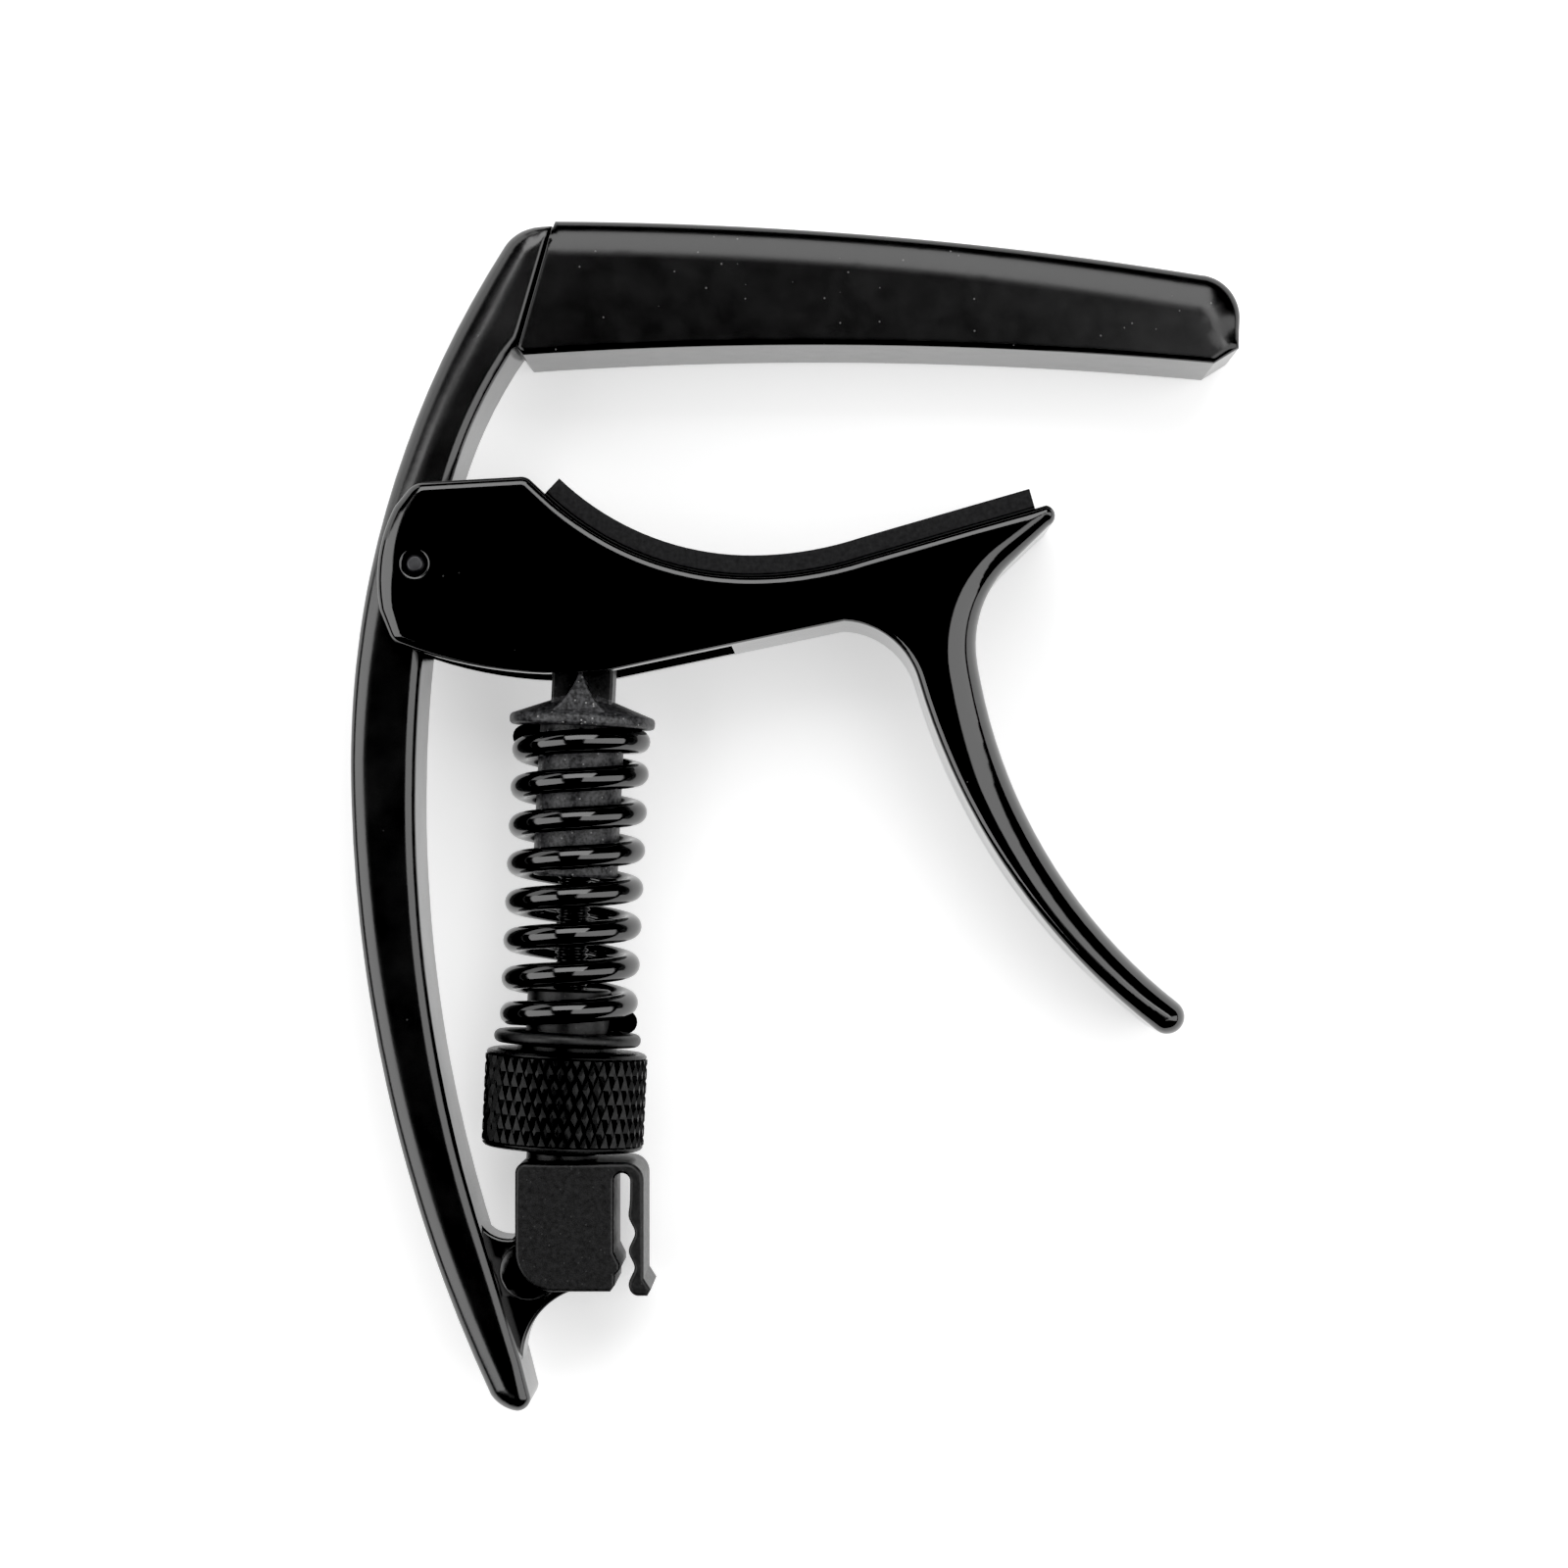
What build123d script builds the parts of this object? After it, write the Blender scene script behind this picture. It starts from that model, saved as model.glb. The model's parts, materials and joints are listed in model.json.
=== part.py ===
from build123d import *
import os
from math import cos, radians, sin

# One-hand trigger capo, lying on its side. Millimetres.
# X runs along the string bar, Y from the trigger's end up to the string bar, Z up from the table.
# The origin is on the table, under the middle of the whole capo.

# --- widths, measured along Z about the middle plane ---
MID_Z = 7.5
LEVER_W = 15.0
SLOT_W = 10.6                # between the lever's cheeks
ARM_W = 10.0                 # back arm of the frame
LUG_W = 5.0                  # lug of the lower pivot
BAR_W = 8.0                  # string bar, inside its sleeve
SLEEVE_W = 11.4
PAD_W = 13.0
HOLDER_W = 10.0
HOLDER_GAP = 5.3             # between the holder's plates

# --- pivots in the XY plane ---
MAIN_PIVOT = (-31.75, 21.5)
LOWER_PIVOT = (-20.3, -36.5)
SPRING_LEAN = radians(2.7)   # the spring's axis leans to the right of +Y
KNUCKLE_AT = 53.2            # from the lower pivot to the knuckle pin

# --- pins and washers ---
MAIN_PIN_R = 1.0
MAIN_PIN_L = 14.7
MAIN_PIN_CHAMFER = 0.35
KNUCKLE_PIN_R = 1.25
KNUCKLE_PIN_L = 12.2
LOWER_PIN_R = 1.25
LOWER_PIN_L = 8.0
PIN_CHAMFER = 0.2
RUNNING = 0.05               # clearance of a pin that turns in its hole, and under the seat
WASHER_R = 2.8
WASHER_T = 0.25

# --- stations along the spring's axis, from the lower pivot, and the radii there ---
HEAD_AT = (4.4, 6.0)         # screw head, moulded into the holder
HEAD_R = 2.4
SCREW_TIP_AT = 38.0
SCREW_R = 1.45
SCREW_CHAMFER = 0.4
NECK_AT = (6.5, 8.1)         # holder's neck under the wheel
NECK_R = 3.05
WHEEL_AT = (8.35, 16.85)
WHEEL_R = 6.95
WHEEL_EDGE_R = 0.9
WHEEL_BOSS_R = 4.25
SEAT_AT = (17.3, 18.4)
SEAT_R = 6.3
SEAT_EDGE_R = 0.5
SEAT_BORE_R = 1.6
COLLAR_TOP = 22.1
COLLAR_R = 3.6
SPRING_AT = (18.4, 44.6)
SPRING_R = 4.9               # to the middle of the wire
WIRE_R = 1.0
TURNS = 8.5
TUBE_BOTTOM = 31.7
TUBE_R = 3.65
TUBE_BORE_R = 1.7
TUBE_BORE_TOP = 44.0
FLANGE_TOP = 45.45
FLANGE_R = 6.25
CONE_TOP = 46.7
CONE_TOP_R = 2.4
TONGUE_W = 5.2
TONGUE_T = 5.0
GUSSET_TOP = 49.6
GUSSET_HALF = 1.75
GUSSET_T = 10.2

# --- frame outline ---
ARM_CREST = (-37.55, 5.0)            # leftmost point of the arm's back
ARM_TOP_CORNER = (-23.5, 50.35)
ARM_TIP_BACK = ((-25.75, -48.8), (-24.8, -49.75), (-23.5, -50.2))
ARM_TIP_FRONT = ((-23.5, -50.2), (-22.65, -49.85), (-22.3, -49.0))
ARM_WAIST = (-23.1, -45.9)           # where the lug's lower edge leaves the arm
ARM_INNER_LOW = (-26.9, -33.6)       # where the lug's upper edge leaves the arm
ARM_INNER_MID = (-32.05, 3.0)
ARM_INNER_JOIN = (-29.7, 25.6)       # between the arm's two inner arcs
ARM_INNER_TOP = (-23.2, 40.7)        # where the arm meets the sleeve
SLEEVE_MOUTH = (-20.45, 50.35)
ARM_TOP_R = 3.6
BOSS_R = 3.2
LUG_R = 3.8
LUG_TOP = ((-27.1, -32.9), (-26.1, -35.1), (-24.0, -35.7))
LUG_UNDER = ((-19.0, -40.2), (-21.6, -42.0), (-23.1, -46.2))
LUG_ROOT = ((-25.5, -45.0), (-28.0, -33.0))          # inside the arm

# --- sleeve outline: the strings lie along its lower edge ---
SLEEVE_TOP = ((-20.2, 50.8), (12.65, 49.1), (38.1, 45.7))
SLEEVE_UNDER = ((35.6, 38.6), (7.5, 40.1), (-22.8, 39.3))
SLEEVE_NOSE = (37.7, 39.9)
SLEEVE_HEEL = (-23.3, 39.9)
SLEEVE_NOSE_R = 3.6
SLEEVE_BACK_R = 3.4
BAR_TOP = ((-23.0, 49.6), (12.5, 47.9), (35.6, 45.0))
BAR_UNDER = ((35.0, 40.6), (7.5, 42.0), (-23.0, 41.4))
SLEEVE_STRETCH = 0.05                # the sleeve's cavity stands this far off the bar

# --- lever outline ---
CHEEK_TOP_LEFT = (-31.9, 28.35)
CHEEK_TOP_RIGHT = (-22.4, 28.9)
SEAT_LEFT = (-20.9, 27.5)
SEAT_LOW_LEFT = (-12.0, 22.0)
SEAT_BOTTOM = (-3.3, 20.53)
SEAT_RIGHT = (6.2, 22.1)
LEVER_TIP = ((21.3, 26.47), (22.05, 25.75), (21.6, 24.8))
SHOULDER = ((18.3, 21.6), (16.1, 18.25), (15.6, 13.5))
TRIGGER_OUTER_MID = (20.95, -1.9)
TRIGGER_OUTER_END = (32.6, -15.5)
TRIGGER_END = (32.65, -17.65)
TRIGGER_INNER_END = (30.65, -17.75)
TRIGGER_INNER_MID = (18.9, -5.5)
ARCH_RIGHT = (10.55, 11.8)
ARCH_TOP = (4.3, 16.7)
BELLY_RIGHT = (-15.5, 12.55)
BELLY_MID = (-21.5, 12.35)
CHEEK_LOW_LEFT = (-33.7, 15.0)
CHEEK_LEFT_LOW = (-34.75, 17.6)
CHEEK_LEFT = (-35.0, 21.0)
CHEEK_LEFT_TOP = (-33.5, 26.4)
LEVER_CORNERS = (                    # each corner with its radius
    (CHEEK_TOP_LEFT, 1.8), (CHEEK_TOP_RIGHT, 1.2),
    (CHEEK_LOW_LEFT, 1.5), (CHEEK_LEFT_LOW, 2.0), (CHEEK_LEFT_TOP, 2.5),
)
SLOT_ROOF = ((-28.3, 32.0), (-28.7, 26.4), (-21.8, 25.8), (-12.5, 19.3), (-5.2, 17.9), (-5.2, 8.0))
SLOT_OPEN_LEFT = ((-40.0, 8.0), (-40.0, 32.0))
GROOVE_R = KNUCKLE_PIN_R + 0.3       # room for the knuckle pin in the cheeks' grooves
GROOVE_DEPTH = 1.1
NOTCH_R = 3.55                       # notch in each cheek that clears the gusset
NOTCH_HALF = 1.9
NOTCH_DROP = 6.0

# --- neck pad, on the lever's seat ---
PAD_RIGHT = (20.4, 26.21)
PAD_T = 1.75                         # over the seat, film included
FILM_T = 0.15
FILM_W = 12.4

# --- pick holder outline ---
HOLDER_TOP_LEFT = (-23.55, -29.0)
HOLDER_LEFT_LOW = (-23.55, -36.5)
HOLDER_ROUND = (-22.65, -38.9)       # between the left side and the bottom
HOLDER_BOTTOM = (-20.3, -39.95)
HOLDER_CORNER_R = 0.9
CLIP_TOP = (-12.65, -29.0)
CLIP_TOP_R = 1.5
CLIP_OUTSIDE = ((-12.65, -38.8), (-12.05, -39.75), (-12.35, -40.3), (-13.2, -40.3))
CLIP_WAVES = (                       # inner side of the clip, from its lip up to the straight part
    (-13.2, -40.3), (-13.75, -39.95), (-13.92, -39.2), (-13.43, -37.93),
    (-13.92, -36.5), (-13.4, -34.95), (-13.93, -33.6), (-13.88, -32.8), (-13.82, -32.0),
)
PICK_SLOT_TOP = ((-13.8, -30.6), (-14.5, -29.9), (-15.2, -30.6))
PLATE_RIGHT = (                      # right side of the plates, from the slot down
    (-15.2, -30.6), (-15.2, -36.6), (-14.7, -37.6), (-14.7, -38.1),
    (-15.1, -38.6), (-15.1, -39.4), (-15.5, -39.95),
)
LUG_POCKET_TOP = -32.3               # under the block that joins the two plates
LUG_POCKET_RIGHT = -16.2
LUG_POCKET_SIZE = (10.0, 10.0)       # past the plates' left and bottom edges


def along_spring(distance):
    """Plane across the spring's axis, at a distance from the lower pivot. Its Y points down."""
    axis = Vector(sin(SPRING_LEAN), cos(SPRING_LEAN), 0)
    foot = Vector(*LOWER_PIVOT, MID_Z)
    side = (cos(SPRING_LEAN), -sin(SPRING_LEAN), 0)
    return Plane(origin=foot + axis * distance, x_dir=side, z_dir=axis)


def on_spring(distance, aside=0.0):
    """Point in the XY plane, at a distance along the spring's axis and a little to its right."""
    x = LOWER_PIVOT[0] + distance * sin(SPRING_LEAN) + aside * cos(SPRING_LEAN)
    y = LOWER_PIVOT[1] + distance * cos(SPRING_LEAN) - aside * sin(SPRING_LEAN)
    return x, y


def level(width):
    """Horizontal plane at the bottom of a piece of this width, centred on the middle plane."""
    return Plane.XY.offset(MID_Z - width / 2)


def pin(centre, radius, length, edge=PIN_CHAMFER):
    """A plain pin along Z with chamfered ends, centred on the middle plane."""
    with BuildPart() as made:
        with BuildSketch(level(length)):
            with Locations(centre):
                Circle(radius)
        extrude(amount=length)
        chamfer(made.edges(), length=edge)
    return made.part


def string_bar(stretch=0.0):
    """The frame's string bar, swelled all round by a stretch."""
    with BuildPart() as made:
        with BuildSketch(level(BAR_W + 2 * stretch)):
            with BuildLine():
                ThreePointArc(*BAR_TOP)
                Line(BAR_TOP[2], BAR_UNDER[0])
                ThreePointArc(*BAR_UNDER)
                Line(BAR_UNDER[2], BAR_TOP[0])
            make_face()
            if stretch:
                offset(amount=stretch, kind=Kind.INTERSECTION)
        extrude(amount=BAR_W + 2 * stretch)
    return made.part


def seat_strip(height, width):
    """A strip that lies on the lever's seat, up to a height over it."""
    with BuildPart() as made:
        with BuildSketch(level(width)):
            with BuildLine():
                left = ThreePointArc(SEAT_LEFT, SEAT_LOW_LEFT, SEAT_BOTTOM)
                TangentArc(SEAT_BOTTOM, SEAT_RIGHT, tangent=left % 1)
                Line(SEAT_RIGHT, PAD_RIGHT)
                offset(amount=height, side=Side.LEFT)
            make_face()
        extrude(amount=width)
    return made.part


def write(part, name):
    """Names a finished piece and writes it."""
    part.label = name
    export_step(part, f"parts/{name}.step")


KNUCKLE = on_spring(KNUCKLE_AT)
os.makedirs("parts", exist_ok=True)

# --- frame: back arm, lug and string bar in one casting ---
with BuildPart() as frame:
    with BuildSketch(level(ARM_W)):
        with BuildLine():
            TangentArc(ARM_CREST, ARM_TIP_BACK[0], tangent=(0, -1))
            ThreePointArc(*ARM_TIP_BACK)
            ThreePointArc(*ARM_TIP_FRONT)
            Polyline(ARM_TIP_FRONT[2], ARM_WAIST, ARM_INNER_LOW)
            inner_low = ThreePointArc(ARM_INNER_LOW, ARM_INNER_MID, ARM_INNER_JOIN)
            TangentArc(ARM_INNER_JOIN, ARM_INNER_TOP, tangent=inner_low % 1)
            Polyline(ARM_INNER_TOP, SLEEVE_MOUTH, ARM_TOP_CORNER)
            TangentArc(ARM_CREST, ARM_TOP_CORNER, tangent=(0, 1))
        make_face()
    extrude(amount=ARM_W)
    upright = frame.edges().filter_by(Axis.Z)
    fillet(upright.group_by(Axis.Y)[-1].sort_by(Axis.X)[0], radius=ARM_TOP_R)
    with BuildSketch(level(ARM_W)):
        with Locations(MAIN_PIVOT):
            Circle(BOSS_R)
    extrude(amount=ARM_W)
    with BuildSketch(level(LUG_W)):
        with BuildLine():
            ThreePointArc(*LUG_TOP)
            Polyline(LUG_TOP[2], LOWER_PIVOT, LUG_UNDER[0])
            ThreePointArc(*LUG_UNDER)
            Polyline(LUG_UNDER[2], *LUG_ROOT, LUG_TOP[0])
        make_face()
        with Locations(LOWER_PIVOT):
            Circle(LUG_R)
    extrude(amount=LUG_W)
    add(string_bar())
    with Locations((*MAIN_PIVOT, MID_Z)):
        Hole(MAIN_PIN_R)
    with Locations((*LOWER_PIVOT, MID_Z)):
        Hole(LOWER_PIN_R + RUNNING)
write(frame.part, "frame")

# --- string sleeve: rubber tube over the bar, closed at the nose ---
with BuildPart() as string_sleeve:
    with BuildSketch(level(SLEEVE_W)):
        with BuildLine():
            ThreePointArc(*SLEEVE_TOP)
            Polyline(SLEEVE_TOP[2], SLEEVE_NOSE, SLEEVE_UNDER[0])
            ThreePointArc(*SLEEVE_UNDER)
            Polyline(SLEEVE_UNDER[2], SLEEVE_HEEL, SLEEVE_TOP[0])
        make_face()
    extrude(amount=SLEEVE_W)
    nose = string_sleeve.edges().filter_by(Axis.Z).sort_by_distance((*SLEEVE_TOP[2], MID_Z))[0]
    fillet(nose, radius=SLEEVE_NOSE_R)
    back = string_sleeve.faces().filter_by(Axis.Z).edges().filter_by(GeomType.CIRCLE)
    fillet(back.sort_by_distance((*SLEEVE_TOP[1], MID_Z))[:2], radius=SLEEVE_BACK_R)
    add(string_bar(SLEEVE_STRETCH), mode=Mode.SUBTRACT)
write(string_sleeve.part, "string_sleeve")

# --- lever: two cheeks around the arm, a web under the neck pad, and the trigger ---
with BuildPart() as lever:
    with BuildSketch(level(LEVER_W)):
        with BuildLine():
            Line(CHEEK_TOP_LEFT, CHEEK_TOP_RIGHT)
            Line(CHEEK_TOP_RIGHT, SEAT_LEFT)
            seat = ThreePointArc(SEAT_LEFT, SEAT_LOW_LEFT, SEAT_BOTTOM)
            TangentArc(SEAT_BOTTOM, SEAT_RIGHT, tangent=seat % 1)
            Line(SEAT_RIGHT, LEVER_TIP[0])
            ThreePointArc(*LEVER_TIP)
            Line(LEVER_TIP[2], SHOULDER[0])
            ThreePointArc(*SHOULDER)
            ThreePointArc(SHOULDER[2], TRIGGER_OUTER_MID, TRIGGER_OUTER_END)
            ThreePointArc(TRIGGER_OUTER_END, TRIGGER_END, TRIGGER_INNER_END)
            trigger = ThreePointArc(TRIGGER_INNER_END, TRIGGER_INNER_MID, ARCH_RIGHT)
            TangentArc(ARCH_RIGHT, ARCH_TOP, tangent=trigger % 1)
            Line(ARCH_TOP, BELLY_RIGHT)
            ThreePointArc(BELLY_RIGHT, BELLY_MID, CHEEK_LOW_LEFT)
            Polyline(CHEEK_LOW_LEFT, CHEEK_LEFT_LOW)
            ThreePointArc(CHEEK_LEFT_LOW, CHEEK_LEFT, CHEEK_LEFT_TOP)
            Line(CHEEK_LEFT_TOP, CHEEK_TOP_LEFT)
        make_face()
    extrude(amount=LEVER_W)
    for corner, radius in LEVER_CORNERS:
        near = lever.edges().filter_by(Axis.Z).sort_by_distance((*corner, MID_Z))[0]
        fillet(near, radius=radius)
    with BuildSketch(level(SLOT_W)):
        with BuildLine():
            Polyline(*SLOT_ROOF, *SLOT_OPEN_LEFT, close=True)
        make_face()
    extrude(amount=SLOT_W, mode=Mode.SUBTRACT)
    groove_w = SLOT_W + 2 * GROOVE_DEPTH
    with BuildSketch(level(groove_w)):
        with Locations(KNUCKLE):
            Circle(GROOVE_R)
        with Locations((KNUCKLE[0], KNUCKLE[1] - NOTCH_DROP / 2)):
            Rectangle(2 * GROOVE_R, NOTCH_DROP)
    extrude(amount=groove_w, mode=Mode.SUBTRACT)
    with BuildSketch(level(LEVER_W)):
        with Locations((KNUCKLE[0], KNUCKLE[1] - NOTCH_DROP / 2)):
            Rectangle(2 * NOTCH_HALF, NOTCH_DROP)
        with Locations(KNUCKLE):
            Circle(NOTCH_R, mode=Mode.SUBTRACT)
    extrude(amount=LEVER_W, mode=Mode.SUBTRACT)
    with Locations((*MAIN_PIVOT, MID_Z)):
        Hole(MAIN_PIN_R + RUNNING)
write(lever.part, "lever")

# --- neck pad and the adhesive film under it ---
write(seat_strip(FILM_T, FILM_W), "pad_adhesive")
with BuildPart() as neck_pad:
    add(seat_strip(PAD_T, PAD_W))
    add(seat_strip(FILM_T, PAD_W), mode=Mode.SUBTRACT)
write(neck_pad.part, "neck_pad")

# --- pins and washers ---
write(pin(MAIN_PIVOT, MAIN_PIN_R, MAIN_PIN_L, MAIN_PIN_CHAMFER), "main_pivot_pin")
write(pin(KNUCKLE, KNUCKLE_PIN_R, KNUCKLE_PIN_L), "knuckle_pin")
write(pin(LOWER_PIVOT, LOWER_PIN_R, LOWER_PIN_L), "lower_pivot_pin")
for side, foot in (("front", MID_Z + ARM_W / 2), ("back", MID_Z - ARM_W / 2 - WASHER_T)):
    with BuildPart() as washer:
        with BuildSketch(Plane.XY.offset(foot)):
            with Locations(MAIN_PIVOT):
                Circle(WASHER_R)
                Circle(MAIN_PIN_R + RUNNING, mode=Mode.SUBTRACT)
        extrude(amount=WASHER_T)
    write(washer.part, f"pivot_washer_{side}")

# --- spring guide: tube, conical flange, tongue and two gussets ---
with BuildPart() as spring_guide:
    with BuildSketch(along_spring(TUBE_BOTTOM)):
        Circle(TUBE_R)
    extrude(amount=SPRING_AT[1] - TUBE_BOTTOM)
    with BuildSketch(along_spring(SPRING_AT[1])):
        Circle(FLANGE_R)
    extrude(amount=FLANGE_TOP - SPRING_AT[1])
    with BuildSketch(along_spring(FLANGE_TOP)):
        Circle(FLANGE_R)
    with BuildSketch(along_spring(CONE_TOP)):
        Circle(CONE_TOP_R)
    loft()
    with BuildSketch(level(TONGUE_T)):
        with BuildLine():
            Polyline(
                on_spring(FLANGE_TOP, -TONGUE_W / 2), on_spring(KNUCKLE_AT, -TONGUE_W / 2),
                on_spring(KNUCKLE_AT, TONGUE_W / 2), on_spring(FLANGE_TOP, TONGUE_W / 2), close=True,
            )
        make_face()
        with Locations(KNUCKLE):
            Circle(TONGUE_W / 2)
    extrude(amount=TONGUE_T)
    with BuildSketch(level(GUSSET_T)):
        with BuildLine():
            Polyline(
                on_spring(FLANGE_TOP, -GUSSET_HALF), on_spring(CONE_TOP, -GUSSET_HALF),
                on_spring(GUSSET_TOP), on_spring(CONE_TOP, GUSSET_HALF),
                on_spring(FLANGE_TOP, GUSSET_HALF), close=True,
            )
        make_face()
    extrude(amount=GUSSET_T)
    with BuildSketch(along_spring(TUBE_BOTTOM)):
        Circle(TUBE_BORE_R)
    extrude(amount=TUBE_BORE_TOP - TUBE_BOTTOM, mode=Mode.SUBTRACT)
    with Locations((*KNUCKLE, MID_Z)):
        Hole(KNUCKLE_PIN_R)
write(spring_guide.part, "spring_guide")

# --- compression spring ---
wire_low = SPRING_AT[0] + WIRE_R
wire_high = SPRING_AT[1] - WIRE_R
with BuildPart() as compression_spring:
    start = along_spring(wire_low)
    with BuildLine():
        coil = Helix(
            (wire_high - wire_low) / TURNS, wire_high - wire_low, SPRING_R,
            center=start.origin, direction=start.z_dir,
        )
    with BuildSketch(Plane(origin=coil @ 0, z_dir=coil % 0)):
        Circle(WIRE_R)
    sweep(is_frenet=True)
write(compression_spring.part, "compression_spring")

# --- spring seat: disc and collar ---
with BuildPart() as spring_seat:
    with BuildSketch(along_spring(SEAT_AT[0])):
        Circle(SEAT_R)
    extrude(amount=SEAT_AT[1] - SEAT_AT[0])
    fillet(spring_seat.edges(), radius=SEAT_EDGE_R)
    with BuildSketch(along_spring(SEAT_AT[1])):
        Circle(COLLAR_R)
    extrude(amount=COLLAR_TOP - SEAT_AT[1])
    with BuildSketch(along_spring(SEAT_AT[0])):
        Circle(SEAT_BORE_R)
    extrude(amount=COLLAR_TOP - SEAT_AT[0], mode=Mode.SUBTRACT)
write(spring_seat.part, "spring_seat")

# --- thumbwheel: knurled nut with a boss that carries the seat ---
with BuildPart() as thumbwheel:
    with BuildSketch(along_spring(WHEEL_AT[0])):
        Circle(WHEEL_R)
    extrude(amount=WHEEL_AT[1] - WHEEL_AT[0])
    fillet(thumbwheel.edges(), radius=WHEEL_EDGE_R)
    with BuildSketch(along_spring(WHEEL_AT[1])):
        Circle(WHEEL_BOSS_R)
    extrude(amount=SEAT_AT[0] - RUNNING - WHEEL_AT[1])
    with BuildSketch(along_spring(WHEEL_AT[0])):
        Circle(SCREW_R + RUNNING)
    extrude(amount=SEAT_AT[0] - WHEEL_AT[0], mode=Mode.SUBTRACT)
write(thumbwheel.part, "thumbwheel")

# --- adjusting screw: its head is moulded into the pick holder ---
with BuildPart() as adjusting_screw:
    with BuildSketch(along_spring(HEAD_AT[0])):
        Circle(HEAD_R)
    extrude(amount=HEAD_AT[1] - HEAD_AT[0])
    with BuildSketch(along_spring(HEAD_AT[1])):
        Circle(SCREW_R)
    extrude(amount=SCREW_TIP_AT - HEAD_AT[1])
    chamfer(adjusting_screw.faces().sort_by(Axis.Y)[-1].edges(), length=SCREW_CHAMFER)
write(adjusting_screw.part, "adjusting_screw")

# --- pick holder: two plates around the lug, the block that joins them, the neck and the clip ---
with BuildPart() as pick_holder:
    with BuildSketch(level(HOLDER_W)):
        with BuildLine():
            Polyline(HOLDER_LEFT_LOW, HOLDER_TOP_LEFT, CLIP_TOP, *CLIP_OUTSIDE)
            Spline(*CLIP_WAVES)
            Line(CLIP_WAVES[-1], PICK_SLOT_TOP[0])
            ThreePointArc(*PICK_SLOT_TOP)
            Polyline(*PLATE_RIGHT, HOLDER_BOTTOM)
            ThreePointArc(HOLDER_BOTTOM, HOLDER_ROUND, HOLDER_LEFT_LOW)
        make_face()
    extrude(amount=HOLDER_W)
    for corner, radius in ((HOLDER_TOP_LEFT, HOLDER_CORNER_R), (CLIP_TOP, CLIP_TOP_R)):
        near = pick_holder.edges().filter_by(Axis.Z).sort_by_distance((*corner, MID_Z))[0]
        fillet(near, radius=radius)
    with BuildSketch(along_spring(NECK_AT[0])):
        Circle(NECK_R)
    extrude(amount=NECK_AT[1] - NECK_AT[0])
    with BuildSketch(level(HOLDER_GAP)):
        with Locations((LUG_POCKET_RIGHT, LUG_POCKET_TOP)):
            Rectangle(*LUG_POCKET_SIZE, align=(Align.MAX, Align.MAX))
    extrude(amount=HOLDER_GAP, mode=Mode.SUBTRACT)
    with BuildSketch(level(LOWER_PIN_L)):
        with Locations(LOWER_PIVOT):
            Circle(LOWER_PIN_R)
    extrude(amount=LOWER_PIN_L, mode=Mode.SUBTRACT)
    with BuildSketch(along_spring(HEAD_AT[0])):
        Circle(HEAD_R)
    extrude(amount=HEAD_AT[1] - HEAD_AT[0], mode=Mode.SUBTRACT)
    with BuildSketch(along_spring(HEAD_AT[1])):
        Circle(SCREW_R)
    extrude(amount=NECK_AT[1] - HEAD_AT[1], mode=Mode.SUBTRACT)
write(pick_holder.part, "pick_holder")
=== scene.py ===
import json
from math import atan, ceil, cos, pi, radians, sin, tau

import bmesh
import bpy
import numpy as np
from mathutils import Matrix, Vector
from mathutils.geometry import delaunay_2d_cdt

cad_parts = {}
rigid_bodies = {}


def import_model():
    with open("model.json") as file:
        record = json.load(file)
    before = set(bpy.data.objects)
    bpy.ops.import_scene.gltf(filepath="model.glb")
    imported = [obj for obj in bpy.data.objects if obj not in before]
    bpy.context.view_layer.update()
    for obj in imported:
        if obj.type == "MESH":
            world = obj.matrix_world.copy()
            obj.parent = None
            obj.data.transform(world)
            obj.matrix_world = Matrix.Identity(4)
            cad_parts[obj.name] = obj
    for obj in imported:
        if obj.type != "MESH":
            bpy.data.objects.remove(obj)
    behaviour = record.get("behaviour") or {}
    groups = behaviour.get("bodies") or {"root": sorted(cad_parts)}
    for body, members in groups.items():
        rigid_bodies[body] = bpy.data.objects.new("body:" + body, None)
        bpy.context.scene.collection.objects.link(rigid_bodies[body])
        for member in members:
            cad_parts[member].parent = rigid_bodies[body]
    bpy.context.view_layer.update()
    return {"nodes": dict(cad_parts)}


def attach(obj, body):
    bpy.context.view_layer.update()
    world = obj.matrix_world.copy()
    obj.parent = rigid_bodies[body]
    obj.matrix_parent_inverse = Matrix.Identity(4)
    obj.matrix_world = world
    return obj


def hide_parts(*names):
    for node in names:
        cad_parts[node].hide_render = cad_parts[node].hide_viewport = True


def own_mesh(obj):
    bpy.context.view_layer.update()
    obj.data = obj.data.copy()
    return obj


# One-hand trigger capo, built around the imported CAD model.
# Lengths here are in millimetres, and turn into metres when a mesh is made.

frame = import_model()

MM = 0.001
MID_Z = 7.5

# --- the CAD's numbers that the pieces share ---
MAIN_PIVOT = (-31.75, 21.5)
LOWER_PIVOT = (-20.3, -36.5)
SPRING_LEAN = radians(2.7)
KNUCKLE_AT = 53.2            # along the spring's axis, from the lower pivot
SEAT_AT = 18.4
SPRING_LENGTH = 26.2
SLOT_HALF = 5.3              # half the gap between the lever's cheeks
LEVER_HALF = 7.5
SLEEVE_HALF = 5.7
BAR_HALF = 4.0
ARM_HALF = 5.0
LUG_HALF = 2.5
PAD_HALF = 6.5
HOLDER_HALF = 5.0
LOWER_PIN_BORE = 1.3
HOLDER_PIN_BORE = 1.25
KNUCKLE_BORE = 1.25

AXIS = Vector((sin(SPRING_LEAN), cos(SPRING_LEAN), 0))
ASIDE = Vector((cos(SPRING_LEAN), -sin(SPRING_LEAN), 0))
PIVOT = Vector((*LOWER_PIVOT, MID_Z))
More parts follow.
